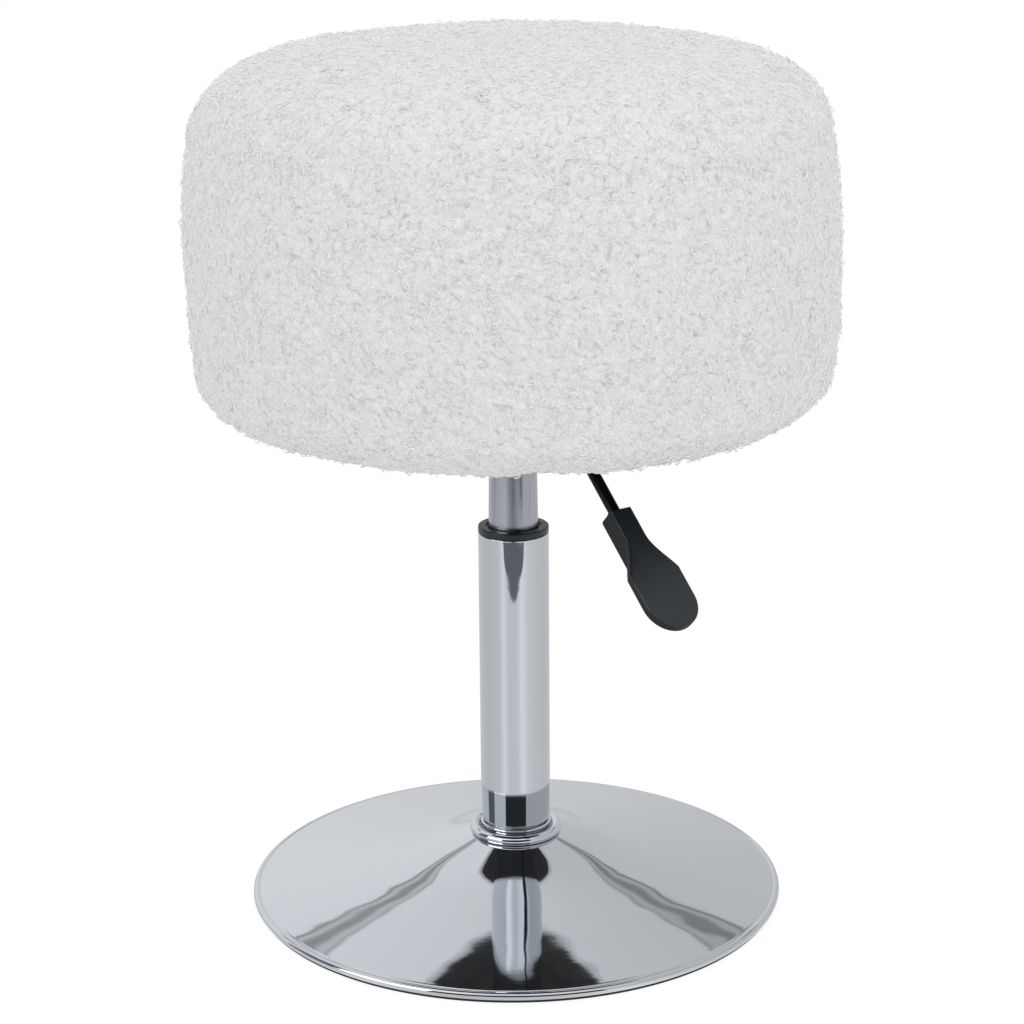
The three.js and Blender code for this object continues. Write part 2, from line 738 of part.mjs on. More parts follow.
function addLeverRod() {
  const section = new THREE.Shape().absarc(0, 0, leverRodRadius, 0, 2 * Math.PI);
  const rod = new THREE.ExtrudeGeometry(section, {
    steps: 24,
    curveSegments: 5,
    bevelEnabled: false,
    extrudePath: leverPath(),
  });
  rod.translate(leverArm + leverBendReach, 0, 0);

  const rounded = tongueWidth / 2;
  const outline = new THREE.Shape();
  outline.moveTo(tongueRoot, -leverRodRadius);
  outline.lineTo(tongueRoot, leverRodRadius);
  outline.lineTo(tongueRoot - rounded, rounded);
  outline.absarc(rounded - tongueReach, 0, rounded, Math.PI / 2, (3 * Math.PI) / 2, false);
  outline.lineTo(tongueRoot - rounded, -rounded);
  outline.closePath();
  const tongue = new THREE.ExtrudeGeometry(outline, {
    depth: tongueThickness,
    bevelEnabled: false,
    curveSegments: 8,
  }).translate(0, 0, -leverRodRadius);
  const root = block(leverRodRadius, 2 * leverRodRadius, tongueThickness)
    .translate(tongueRoot, 0, tongueThickness / 2 - leverRodRadius);

  const halfEye = leverEyeWidth / 2;
  const eye = crossBar(leverEyeRadius, -halfEye, halfEye).translate(leverArm, 0, 0);
  const bore = crossBar(pivotRadius + runGap, -halfEye - overrun, halfEye + overrun)
    .translate(leverArm, 0, 0);
  const lever = cut(join(rod, tongue, root, eye), bore);
  addPiece('lever_rod', lever.translate(0, 0, leverZ), 'blackSteel');
}

// Half width of the handle along its length: neck, flare, then the paddle up to its round end
function handleOutline() {
  const neck = neckWidth / 2 - handleBevel;
  const wide = handleWidth / 2 - handleBevel;
  const nearWide = wide - neck / 2;
  const pull = (flareEnd - neckStraight) / 3;
  const straightEnd = handleLength - handleBevel - wide;
  const shape = new THREE.Shape();
  shape.moveTo(handleBevel, -neck);
  shape.lineTo(neckStraight, -neck);
  shape.bezierCurveTo(neckStraight + pull, -neck, flareEnd - pull, -nearWide, flareEnd, -wide);
  shape.lineTo(straightEnd, -wide);
  shape.absarc(straightEnd, 0, wide, -Math.PI / 2, Math.PI / 2, false);
  shape.lineTo(flareEnd, wide);
  shape.bezierCurveTo(flareEnd - pull, nearWide, neckStraight + pull, neck, neckStraight, neck);
  shape.lineTo(handleBevel, neck);
  shape.closePath();
  return shape;
}

// The handle's own axes: X along the rod, Y across, Z out of its flat upper face
function addHandle() {
  const faceZ = neckThickness / 2;
  const plate = new THREE.ExtrudeGeometry(handleOutline(), {
    depth: handleThickness - 2 * handleBevel,
    curveSegments: 8,
    bevelThickness: handleBevel,
    bevelSize: handleBevel,
    bevelSegments: 1,
  }).translate(0, 0, faceZ - handleThickness + handleBevel);

  const side = new THREE.Shape();
  side.moveTo(0, -faceZ);
  side.lineTo(neckFullDepth, -faceZ);
  side.quadraticCurveTo((neckFullDepth + neckDepthEnd) / 2, -faceZ, neckDepthEnd, faceZ - handleThickness);
  side.lineTo(neckDepthEnd, faceZ - handleThickness / 2);
  side.lineTo(0, faceZ - handleThickness / 2);
  side.closePath();
  const neck = new THREE.ExtrudeGeometry(side, { depth: neckWidth, bevelEnabled: false, curveSegments: 5 })
    .translate(0, 0, -neckWidth / 2)
    .rotateX(Math.PI / 2);
  const cap = block(2 * handleBevel, neckWidth, neckThickness - handleBevel)
    .translate(handleBevel, 0, -handleBevel / 2);
  const bore = bar(leverRodRadius + runGap, -overrun, leverInsert + runGap, roundBolt).rotateY(Math.PI / 2);

  const turned = new THREE.Group();
  turned.position.set(leverArm + leverBendReach, 0, leverZ);
  turned.rotation.y = leverSlope;
  stool.add(turned);
  const handle = addPiece('lever_handle', cut(join(plate, neck, cap), bore), 'blackPlastic', turned);
  handle.position.x = leverReachToHandle;
}

// The seat's outer line from under the board's edge, round the drum, to the middle of the crown.
// Each stretch but the last leaves out its end point, which the next one starts with.
function seatLine(bottomSteps, sideSteps, topSteps, crownSteps) {
  const cornerRadius = seatRadius - sideBulge;
  const bottomCornerZ = seatBottomZ + bottomCornerHeight;
  const topCornerZ = seatShoulderZ - topCornerHeight;
  const flatRadius = cornerRadius - topCornerWidth;
  const firstAngle = Math.asin(1 - boardInset / bottomCornerWidth);
  const line = [];
  for (let i = 0; i < bottomSteps; i += 1) {
    const angle = firstAngle + ((Math.PI / 2 - firstAngle) * i) / bottomSteps;
    const inward = bottomCornerWidth * (1 - Math.sin(angle));
    line.push([cornerRadius - inward, bottomCornerZ - bottomCornerHeight * Math.cos(angle)]);
  }
  for (let i = 0; i < sideSteps; i += 1) {
    const along = i / sideSteps;
    const bulge = sideBulge * 4 * along * (1 - along);
    line.push([cornerRadius + bulge, bottomCornerZ + (topCornerZ - bottomCornerZ) * along]);
  }
  for (let i = 0; i < topSteps; i += 1) {
    const angle = ((Math.PI / 2) * i) / topSteps;
    const inward = topCornerWidth * (1 - Math.cos(angle));
    line.push([cornerRadius - inward, topCornerZ + topCornerHeight * Math.sin(angle)]);
  }
  for (let i = 0; i <= crownSteps; i += 1) {
    const along = i / crownSteps;
    const rise = (seatCrown * (1 - Math.cos(Math.PI * along))) / 2;
    line.push([flatRadius * (1 - along), seatShoulderZ + rise]);
  }
  return line;
}

// The same line moved inward by a distance, square to its own direction
function inset(line, distance) {
  return line.map(([r, z], i) => {
    const before = line[Math.max(i - 1, 0)];
    const after = line[Math.min(i + 1, line.length - 1)];
    const along = new THREE.Vector2(after[0] - before[0], after[1] - before[1]).normalize();
    return [Math.max(r - along.y * distance, 0), z + along.x * distance];
  });
}

function addBoard() {
  const counterbore = teeFlangeThickness + 2 * restGap;
  const holes = squarePlaces(seatBoltReach).flatMap(([x, y]) => [
    bar(seatBoltRadius + runGap + teeBarrelWall + runGap, boardZ - overrun, boardTopZ + overrun, roundBolt)
      .translate(x, y, 0),
    bar(teeFlangeRadius + runGap, boardTopZ - counterbore, boardTopZ + overrun, roundBolt).translate(x, y, 0),
  ]);
  const board = revolve([[0, boardZ], [boardRadius, boardZ], [boardRadius, boardTopZ], [0, boardTopZ]]);
  addPiece('seat_board', cut(board, ...holes), 'plywood');
}

// Flat under the board, then stepped down over the fabric's hem and out to the board's edge
function addDustCover() {
  const top = dustCoverZ + dustCoverThickness;
  const stepRadius = coverHemRadius - restGap;
  const edgeRadius = boardRadius - restGap;
  const edgeZ = hemZ - restGap - dustCoverThickness;
  const lower = [
    [0, dustCoverZ],
    [stepRadius - dustCoverSlope, dustCoverZ],
    [stepRadius, edgeZ],
    [edgeRadius, edgeZ],
  ];
  const upper = lower.map(([r, z]) => [r, z + dustCoverThickness]).reverse();
  const sheet = revolve([...lower, ...upper], roundLarge);
  const holes = squarePlaces(seatBoltReach).map(([x, y]) => (
    bar(seatBoltRadius + runGap, dustCoverZ - overrun, top + overrun, roundBolt).translate(x, y, 0)
  ));
  addPiece('dust_cover', cut(sheet, ...holes), 'blackFabric');
}

// The part of a rising line above a height, with a new first point at that height
function above(line, height) {
  const first = line.findIndex(([, z]) => z > height);
  const [lowR, lowZ] = line[first - 1];
  const [highR, highZ] = line[first];
  const share = (height - lowZ) / (highZ - lowZ);
  return [[lowR + (highR - lowR) * share, height], ...line.slice(first)];
}

// The inner face of the fabric skin, from the bottom corner to the middle of the crown
function liningLine() {
  const line = inset(seatLine(2, 2, 3, 1), coverThickness);
  line[line.length - 1][0] = 0;
  return line;
}

function addFoam() {
  const low = boardTopZ + restGap;
  const line = above(inset(liningLine(), coverFoamGap), low);
  line[line.length - 1][0] = 0;
  addPiece('foam_block', revolve([[0, low], ...line], roundLarge), 'foam');
}

// The fabric skin: a crowned drum with bulging sides, turned under the board to a thin hem
function addCover() {
  addPiece('boucle_cover', revolve([
    ...seatLine(3, 4, 5, 3),
    ...liningLine().slice(1).reverse(),
    [boardRadius + restGap, hemTopZ],
    [coverHemRadius, hemTopZ],
    [coverHemRadius, hemZ],
    [boardRadius, hemZ],
  ], roundLarge), 'curlyFabric');
}

function addSeatBolts() {
  const headZ = mountPlateZ - restGap;
  const shankTop = boardTopZ - seatBoltSpare;
  const bore = seatBoltRadius + runGap;
  const barrel = bore + teeBarrelWall;
  const flangeTop = boardTopZ - restGap;
  const flangeZ = flangeTop - teeFlangeThickness;
  const nut = revolve([
    [bore, flangeZ - teeBarrelLength],
    [barrel, flangeZ - teeBarrelLength],
    [barrel, flangeZ],
    [teeFlangeRadius, flangeZ],
    [teeFlangeRadius, flangeTop],
    [bore, flangeTop],
  ], roundBolt);
  const bolt = boltGeometry(seatBoltRadius, seatBoltHeadRadius, seatBoltHeadHeight, headZ, shankTop);
  squarePlaces(seatBoltReach).forEach(([x, y], i) => {
    addPiece(`plate_bolt_${i + 1}`, bolt.clone().translate(x, y, 0), 'plainSteel');
    addPiece(`tee_nut_${i + 1}`, nut.clone().translate(x, y, 0), 'plainSteel');
  });
}

addDish();
addFloorRing();
addBasePlate();
addColumnSocket();
addBaseBolts();
addCollar();
addColumn();
addBushing();
addBearing();
addPistonRod();
addClipAndWasher();
addBumpStop();
addPiston();
addPressureTube();
addTubeInsides();
addReleasePin();
addHub();
addBracket();
addMountPlate();
addPivot();
addLeverRod();
addHandle();
addBoard();
addDustCover();
addFoam();
addCover();
addSeatBolts();

export default stool;
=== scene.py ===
import math

import bmesh
import bpy
import numpy as np
from mathutils import Matrix, Vector, noise
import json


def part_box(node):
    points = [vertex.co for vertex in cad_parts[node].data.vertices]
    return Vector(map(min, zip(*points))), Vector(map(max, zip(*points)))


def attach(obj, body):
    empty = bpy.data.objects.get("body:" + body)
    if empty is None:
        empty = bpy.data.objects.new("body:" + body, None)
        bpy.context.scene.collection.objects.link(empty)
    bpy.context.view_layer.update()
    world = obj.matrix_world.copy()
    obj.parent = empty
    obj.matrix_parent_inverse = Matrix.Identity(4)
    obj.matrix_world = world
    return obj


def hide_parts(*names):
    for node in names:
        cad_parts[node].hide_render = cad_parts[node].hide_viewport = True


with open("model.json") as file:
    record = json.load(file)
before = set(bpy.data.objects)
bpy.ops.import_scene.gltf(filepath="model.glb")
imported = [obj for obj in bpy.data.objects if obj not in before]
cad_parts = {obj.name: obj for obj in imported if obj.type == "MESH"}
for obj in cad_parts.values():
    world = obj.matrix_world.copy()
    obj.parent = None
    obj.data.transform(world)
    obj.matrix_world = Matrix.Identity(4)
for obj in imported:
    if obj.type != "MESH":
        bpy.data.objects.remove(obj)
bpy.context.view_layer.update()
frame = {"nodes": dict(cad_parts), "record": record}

MM = 0.001
TURN = 2 * math.pi
SEED = 11

# Camera: fitted to the photograph, from the lever's side
CAMERA_AZIMUTH = math.radians(54)
CAMERA_DISTANCE = 1.4172
CAMERA_HEIGHT = 0.6381
CAMERA_PITCH = 0.2817
CAMERA_ROLL = 0.0085
CAMERA_YAW = 0.0005
CAMERA_LENS = 92.14
SENSOR_WIDTH = 36
FLOOR_WIDTH = 8

# Facets round a full turn
ROUND_FINE = 256
ROUND_MEDIUM = 128
ROUND_SMALL = 64
SUPPORT = 0.4 * MM

# Nodes of the frame that stay and get a bevel on their edges
BEVELS = {"lever_bracket": 0.5 * MM, "mount_plate": 0.4 * MM, "pivot_pin": 0.3 * MM}

# Base
CONE_ANGLE = math.radians(10.5)
CONE_STEPS = 90
# How steep the dish is on its way in: radius in mm, slope in degrees
DISH_SLOPES = [(110, 10.8), (88, 11.1), (68, 11.4), (58, 13.3), (48.6, 17.2), (38, 19.5), (25, 20)]
BEAD_RADIUS = 2.2 * MM
SHEET = 1.2 * MM
NECK_MARGIN = 1.9 * MM
RIM_GROOVE = 0.45 * MM
RING_FILLET = 0.5 * MM
RING_PROUD = 1.3 * MM
RING_WIDTH = 10 * MM

# Collar, column, bushing and tube
COLLAR_RING_SECTION = 3 * MM
COLLAR_RING_OUT = 3.7 * MM
COLLAR_RING_SINK = 0.8 * MM
COLLAR_BEAD_DROP = 0.5 * MM
COLLAR_BEAD_SECTION = 0.9 * MM
COLLAR_BEAD_IN = 0.5 * MM
COLLAR_GROOVE_FLOOR = 2.2 * MM
COLLAR_GROOVE_IN = 0.2 * MM
COLUMN_WALL = 1.5 * MM
COLUMN_FOOT_FILLET = 1.3 * MM
SWAGE_DEPTH = 0.45 * MM
SWAGE_HEIGHT = 27 * MM
SWAGE_ROUND = 350 * MM
EDGE_FILLET = 0.35 * MM
BUSHING_FLANGE = 3.6 * MM
BUSHING_CHAMFER = 0.6 * MM
BUSHING_LIP_WIDTH = 1.3 * MM
BUSHING_LIP_DEPTH = 0.9 * MM
TUBE_WALL = 1.5 * MM
TUBE_CRIMP = 1.4 * MM
TAPER_START = 2.5 * MM
TAPER_DRAW = 0.8 * MM
VALVE_HEIGHT = 21 * MM
HUB_FLANGE_WIDTH = 2.8 * MM
HUB_FLANGE_HEIGHT = 2.2 * MM
RUN_GAP = 0.3 * MM

# Lever
LEVER_SLOPE = math.radians(43.5)
LEVER_PIVOT_X = 32 * MM
LEVER_BEND_X = 58.2 * MM
LEVER_BEND_RADIUS = 14 * MM
LEVER_ROD_RADIUS = 3 * MM
LEVER_COAT = 0.3 * MM
LEVER_TO_HANDLE = 48 * MM
LEVER_INSERT = 20 * MM
LEVER_EYE_RADIUS = 6.5 * MM
LEVER_EYE_WIDTH = 7 * MM
TONGUE_ROOT = 12 * MM
TONGUE_TIP = 8 * MM
TONGUE_WIDTH = 11 * MM
TONGUE_THICKNESS = 4 * MM
PIVOT_BORE = 3.3 * MM

# Handle
HANDLE_LENGTH = 75 * MM
HANDLE_WIDTH = 32.6 * MM
HANDLE_THICKNESS = 5 * MM
HANDLE_NECK_WIDTH = 13.5 * MM
HANDLE_NECK_DEPTH = 12.3 * MM
HANDLE_NECK_STRAIGHT = 18 * MM
HANDLE_FLARE_END = 40.5 * MM
HANDLE_DEEP_TO = 29 * MM
HANDLE_DEEP_END = 47 * MM
HANDLE_FILLET = 0.9 * MM
FACE_SHARE = 0.2

# Seat
SIDE_BULGE = 4.9 * MM
SEAT_CROWN = 6 * MM
TOP_CORNER_WIDTH = 81 * MM
TOP_CORNER_HEIGHT = 49 * MM
BOTTOM_CORNER_WIDTH = 35.5 * MM
BOTTOM_CORNER_HEIGHT = 22.4 * MM
COVER_THICKNESS = 6 * MM
HEM_THICKNESS = 2.6 * MM
HEM_WIDTH = 24 * MM
DUST_COVER_SLOPE = 3 * MM
DUST_COVER_STEP = 2.2 * MM
RIPPLE_HEIGHT = 0.2 * MM
RIPPLE_SIZE = 18 * MM
FOAM_GAP = 0.5 * MM
FOAM_LINE_STEP = 4 * MM
FOAM_STEP = 5 * MM

# Boucle
FABRIC_STEP = 1.6 * MM
TUFT_SIZE = 7.2 * MM
TUFT_HEIGHT = 1.75 * MM
TUFT_SINK = 2.3 * MM
BOTTOM_ROLL_SHARE = 0.15
LUMP_SIZE = 70 * MM
LUMP_HEIGHT = 1.3 * MM
CURL_COUNT = 14000
CURL_YARN = 0.4 * MM
CURL_RADII = (1 * MM, 2.4 * MM)
CURL_LIFTS = (-0.1 * MM, 0.25 * MM)
CURL_ARCH = 0.4 * MM
CURL_TURN_SHARES = (0.35, 0.85)

# Swells (+) and dents (-) of the stuffed seat, chosen one by one:
# degrees from the camera's side towards the image's right, radius, height, spread and rise in mm
SWELLS = [
    (-112, 160, 468, 34, -5.0),
    (-88, 175, 459, 18, -2.6),
    (105, 167, 462, 26, 3.6),
    (85, 179, 328, 38, 3.4),
    (-85, 178, 362, 30, -2.0),
    (44, 158, 290, 34, 0.8),
    (-40, 158, 290, 30, -0.4),
    (6, 155, 290, 8, -1.1),
    (-4, 155, 290, 12, 1.0),
    (17, 156, 290, 14, 0.9),
    (150, 90, 497, 60, 0.8),
    (-150, 90, 497, 60, -0.6),
]


def link(obj):
    bpy.context.scene.collection.objects.link(obj)
    return obj


def smooth(mesh, angle=math.radians(35)):
    mesh.polygons.foreach_set("use_smooth", np.ones(len(mesh.polygons), bool))
    mesh.set_sharp_from_angle(angle=angle)


def make_piece(name, points, faces, material, body, slot):
    """A mesh object of these points and faces that rides on a body."""
    mesh = bpy.data.meshes.new(name)
    mesh.from_pydata(points, [], faces)
    mesh.validate()
    mesh.update()
    smooth(mesh)
    piece = link(bpy.data.objects.new(name, mesh))
    piece.data.materials.append(material)
    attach(piece, body)
    return piece


def arc(r, z, size, start, end, steps):
    """Points of an arc in the (radius, height) plane, from one angle in degrees to another."""
    angles = [math.radians(start + (end - start) * i / steps) for i in range(steps + 1)]
    return [(r + size * math.cos(a), z + size * math.sin(a)) for a in angles]


def fillet(outline, sizes, steps=5):
    """The closed outline with its corners rounded. sizes holds each corner's radius, 0 for a sharp one."""
    rounded = []
    count = len(outline)
    for i, (corner, size) in enumerate(zip(outline, sizes)):
        if size == 0:
            rounded.append(corner)
            continue
        at = Vector(corner)
        back = (Vector(outline[i - 1]) - at).normalized()
        ahead = (Vector(outline[(i + 1) % count]) - at).normalized()
        half = back.angle(ahead) / 2
        reach = size / math.tan(half)
        middle = at + (back + ahead).normalized() * (size / math.sin(half))
        first = at + back * reach - middle
        last = at + ahead * reach - middle
        for k in range(steps + 1):
            share = k / steps
            spoke = first.normalized().slerp(last.normalized(), share)
            rounded.append(tuple(middle + spoke * size))
    return rounded


def lathe_mesh(outline, facets):
    """Points and faces of a closed outline of (radius, height) turned about Z."""
    angles = np.arange(facets) * TURN / facets
    points = []
    for r, z in outline:
        points += [(r * c, r * s, z) for c, s in zip(np.cos(angles), np.sin(angles))]
    faces = []
    for i in range(len(outline)):
        faces += band(i * facets, (i + 1) % len(outline) * facets, facets)
    return points, faces


def band(first, second, count):
    """Faces between two closed rings of points, given by the number of their first points."""
    around = [(k, (k + 1) % count) for k in range(count)]
    return [(first + k, first + m, second + m, second + k) for k, m in around]


def stacked(rings):
    """A closed shape of points and faces through rings of as many points each, with flat ends."""
    count = len(rings[0])
    points = [point for ring in rings for point in ring]
    faces = []
    for i in range(len(rings) - 1):
        faces += band(i * count, (i + 1) * count, count)
    faces += [tuple(range(count))[::-1], tuple(range(len(points) - count, len(points)))]
    return points, faces


def bezier(corners, steps):
    """Points of the curve from the first corner to the last that is drawn towards those between."""
    curve = []
    for i in range(steps + 1):
        level = [Vector(corner) for corner in corners]
        while len(level) > 1:
            level = [a.lerp(b, i / steps) for a, b in zip(level, level[1:])]
        curve.append(tuple(level[0]))
    return curve


def with_support(outline):
    """The closed outline with a point near both ends of each long stretch, to keep its shading straight."""
    supported = []
    for start, end in zip(outline, outline[1:] + outline[:1]):
        supported.append(start)
        length = math.dist(start, end)
        if length > 4 * SUPPORT:
            for share in (SUPPORT / length, 1 - SUPPORT / length):
                supported.append(tuple(a + (b - a) * share for a, b in zip(start, end)))
    return supported


def turned(name, outline, material, body, slot, facets=ROUND_MEDIUM):
    """A round piece whose closed outline stays off the axis."""
    if signed_area(outline) < 0:
        outline = outline[::-1]
    points, faces = lathe_mesh(with_support(outline), facets)
    return make_piece(name, points, faces, material, body, slot)


def signed_area(outline):
    pairs = zip(outline, outline[1:] + outline[:1])
    return sum(a[0] * b[1] - b[0] * a[1] for a, b in pairs) / 2


# Materials

def new_material(name):
    material = bpy.data.materials.new(name)
    material.use_nodes = True
    tree = material.node_tree
    return material, tree, tree.nodes["Principled BSDF"]


def plug(tree, value, socket):
    """Sets a socket to a value, or links another node's output to it."""
    if isinstance(value, bpy.types.NodeSocket):
        tree.links.new(value, socket)
    else:
        socket.default_value = value


def add_node(tree, kind, **settings):
    """A node with some inputs plugged and some of its other settings set."""
    node = tree.nodes.new(kind)
    for key, value in settings.items():
        if key in node.inputs:
            plug(tree, value, node.inputs[key])
        else:
            setattr(node, key, value)
    return node


def stretched_coordinates(tree, scale):
    """Object coordinates multiplied along each axis."""
    source = add_node(tree, "ShaderNodeTexCoord")
    mapping = add_node(tree, "ShaderNodeMapping", Vector=source.outputs["Object"], Scale=scale)
    return mapping.outputs["Vector"]


def noise_texture(tree, vector, scale, detail=3.0, roughness=0.5, distortion=0.0):
    settings = {"Scale": scale, "Detail": detail, "Roughness": roughness, "Distortion": distortion}
    return add_node(tree, "ShaderNodeTexNoise", Vector=vector, **settings).outputs["Fac"]


def ramp(tree, value, stops):
    """A colour ramp. stops are (position, colour), and a colour may be one grey number."""
    node = add_node(tree, "ShaderNodeValToRGB", Fac=value)
    elements = node.color_ramp.elements
    while len(elements) < len(stops):
        elements.new(0.5)
    for element, (position, colour) in zip(elements, stops):
        element.position = position
        rgb = (colour,) * 3 if isinstance(colour, (int, float)) else colour
        element.color = (*rgb, 1.0)
    return node.outputs["Color"]


def combine(tree, operation, *values, kind="ShaderNodeMath"):
    """A Math node, or a Vector Math node. Each value is a constant or another node's output."""
    node = add_node(tree, kind, operation=operation)
    for socket, value in zip(node.inputs, values):
        plug(tree, value, socket)
    return node.outputs[0]


def mix_shaders(tree, share, first, second):
    """A blend of two shader nodes: the first where the share is 0 and the second where it is 1."""
    mix = add_node(tree, "ShaderNodeMixShader")
    for socket, value in zip(mix.inputs, (share, first.outputs[0], second.outputs[0])):
        tree.links.new(value, socket)
    return mix


def add_bump(tree, shader, height, strength, distance):
    bump = add_node(tree, "ShaderNodeBump", Height=height, Strength=strength, Distance=distance)
    tree.links.new(bump.outputs["Normal"], shader.inputs["Normal"])


def drive(tree, shader, socket, value, stops):
    """Drives one input of the shader by a value through a ramp."""
    tree.links.new(ramp(tree, value, stops), shader.inputs[socket])


def spun_marks(tree):
    """A fine relief round the Z axis, as polishing leaves it on a spun sheet."""
    flat = stretched_coordinates(tree, (1, 1, 0))
    radius = add_node(tree, "ShaderNodeVectorMath", operation="LENGTH", Vector=flat)
    angle = add_node(tree, "ShaderNodeTexGradient", gradient_type="RADIAL", Vector=flat)
    across = combine(tree, "MULTIPLY", radius.outputs["Value"], 800.0)
    along = combine(tree, "MULTIPLY", angle.outputs["Fac"], 26.0)
    spread = add_node(tree, "ShaderNodeCombineXYZ", X=across, Y=along)
    return noise_texture(tree, spread.outputs[0], 1.0, detail=2, roughness=0.6)


def chrome_material(name, spun_share):
    """Mirror plating over sheet: waviness, polishing marks, and smears in its gloss."""
    material, tree, shader = new_material(name)
    shader.inputs["Metallic"].default_value = 1.0
    shader.inputs["Base Color"].default_value = (0.57, 0.598, 0.636, 1)
    vector = stretched_coordinates(tree, (1, 1, 1))
    wave = noise_texture(tree, vector, 16, detail=2)
    relief = combine(tree, "MULTIPLY_ADD", spun_marks(tree), spun_share, wave)
    add_bump(tree, shader, relief, 0.24, 2 * MM)
    smear = noise_texture(tree, vector, 30, detail=5, roughness=0.65)
    drive(tree, shader, "Roughness", smear, [(0.35, 0.025), (0.75, 0.06)])
    return material


def drawn_steel_material(name, dark, pale, roughness, streaks=900):
    """Steel drawn along Z, with fine streaks along it."""
    material, tree, shader = new_material(name)
    shader.inputs["Metallic"].default_value = 1.0
    fine = noise_texture(tree, stretched_coordinates(tree, (1, 1, 0.012)), streaks, detail=4, roughness=0.7)
    drive(tree, shader, "Base Color", fine, [(0.3, dark), (0.7, pale)])
    drive(tree, shader, "Roughness", fine, [(0.3, roughness * 0.8), (0.7, roughness * 1.25)])
    add_bump(tree, shader, fine, 0.12, 0.2 * MM)
    return material


def plated_steel_material():
    """Dull zinc plating on fasteners and pressed steel."""
    material, tree, shader = new_material("zinc_steel")
    shader.inputs["Metallic"].default_value = 1.0
    grain = noise_texture(tree, stretched_coordinates(tree, (1, 1, 1)), 260, detail=5, roughness=0.7)
    drive(tree, shader, "Base Color", grain, [(0.3, (0.36, 0.37, 0.38)), (0.7, (0.52, 0.53, 0.53))])
    drive(tree, shader, "Roughness", grain, [(0.3, 0.3), (0.7, 0.45)])
    add_bump(tree, shader, grain, 0.1, 0.2 * MM)
    return material


def grained_material(name, dark, pale, roughness, grain_scale, bump, metallic=0.0, specular=0.5):
    """A matte or satin material with a fine even grain in colour, gloss and relief."""
    material, tree, shader = new_material(name)
    shader.inputs["Metallic"].default_value = metallic
    shader.inputs["Specular IOR Level"].default_value = specular
    vector = stretched_coordinates(tree, (1, 1, 1))
    grain = noise_texture(tree, vector, grain_scale, detail=3, roughness=0.6)
    broad = noise_texture(tree, vector, 40, detail=2)
    drive(tree, shader, "Base Color", broad, [(0.3, dark), (0.7, pale)])
    drive(tree, shader, "Roughness", grain, [(0.3, roughness - 0.06), (0.7, roughness + 0.06)])
    add_bump(tree, shader, grain, bump, 0.12 * MM)
    return material


def cloth_material():
    """Thin black non-woven cloth with short crossing fibres."""
    material, tree, shader = new_material("nonwoven_cloth")
    vector = stretched_coordinates(tree, (1, 1, 1))
    fibre = noise_texture(tree, vector, 900, detail=3, roughness=0.7, distortion=1.5)
    drive(tree, shader, "Base Color", fibre, [(0.3, 0.02), (0.75, 0.05)])
    shader.inputs["Roughness"].default_value = 0.95
    add_bump(tree, shader, fibre, 0.5, 0.3 * MM)
    return material


def foam_material():
    """Open-celled foam, with painted shade that darkens its pores."""
    material, tree, shader = new_material("open_cell_foam")
    vector = stretched_coordinates(tree, (1, 1, 1))
    cells = add_node(tree, "ShaderNodeTexVoronoi", Vector=vector, Scale=700.0)
    pore_relief_and_shade = cells.outputs["Distance"]
    # Painted shade: darker towards each pore's middle, where its relief is lowest.
    drive(tree, shader, "Base Color", pore_relief_and_shade, [(0.1, (0.62, 0.53, 0.31)), (0.6, (0.8, 0.72, 0.5))])
    shader.inputs["Roughness"].default_value = 0.95
    add_bump(tree, shader, pore_relief_and_shade, 0.6, 0.5 * MM)
    return material


def plywood_material():
    """Board with a long grain along X."""
    material, tree, shader = new_material("plywood_board")
    vector = stretched_coordinates(tree, (6, 90, 260))
    grain = noise_texture(tree, vector, 1, detail=6, roughness=0.6, distortion=0.6)
    drive(tree, shader, "Base Color", grain, [(0.3, (0.3, 0.19, 0.09)), (0.7, (0.52, 0.37, 0.21))])
    shader.inputs["Roughness"].default_value = 0.7
    add_bump(tree, shader, grain, 0.2, 0.3 * MM)
    return material


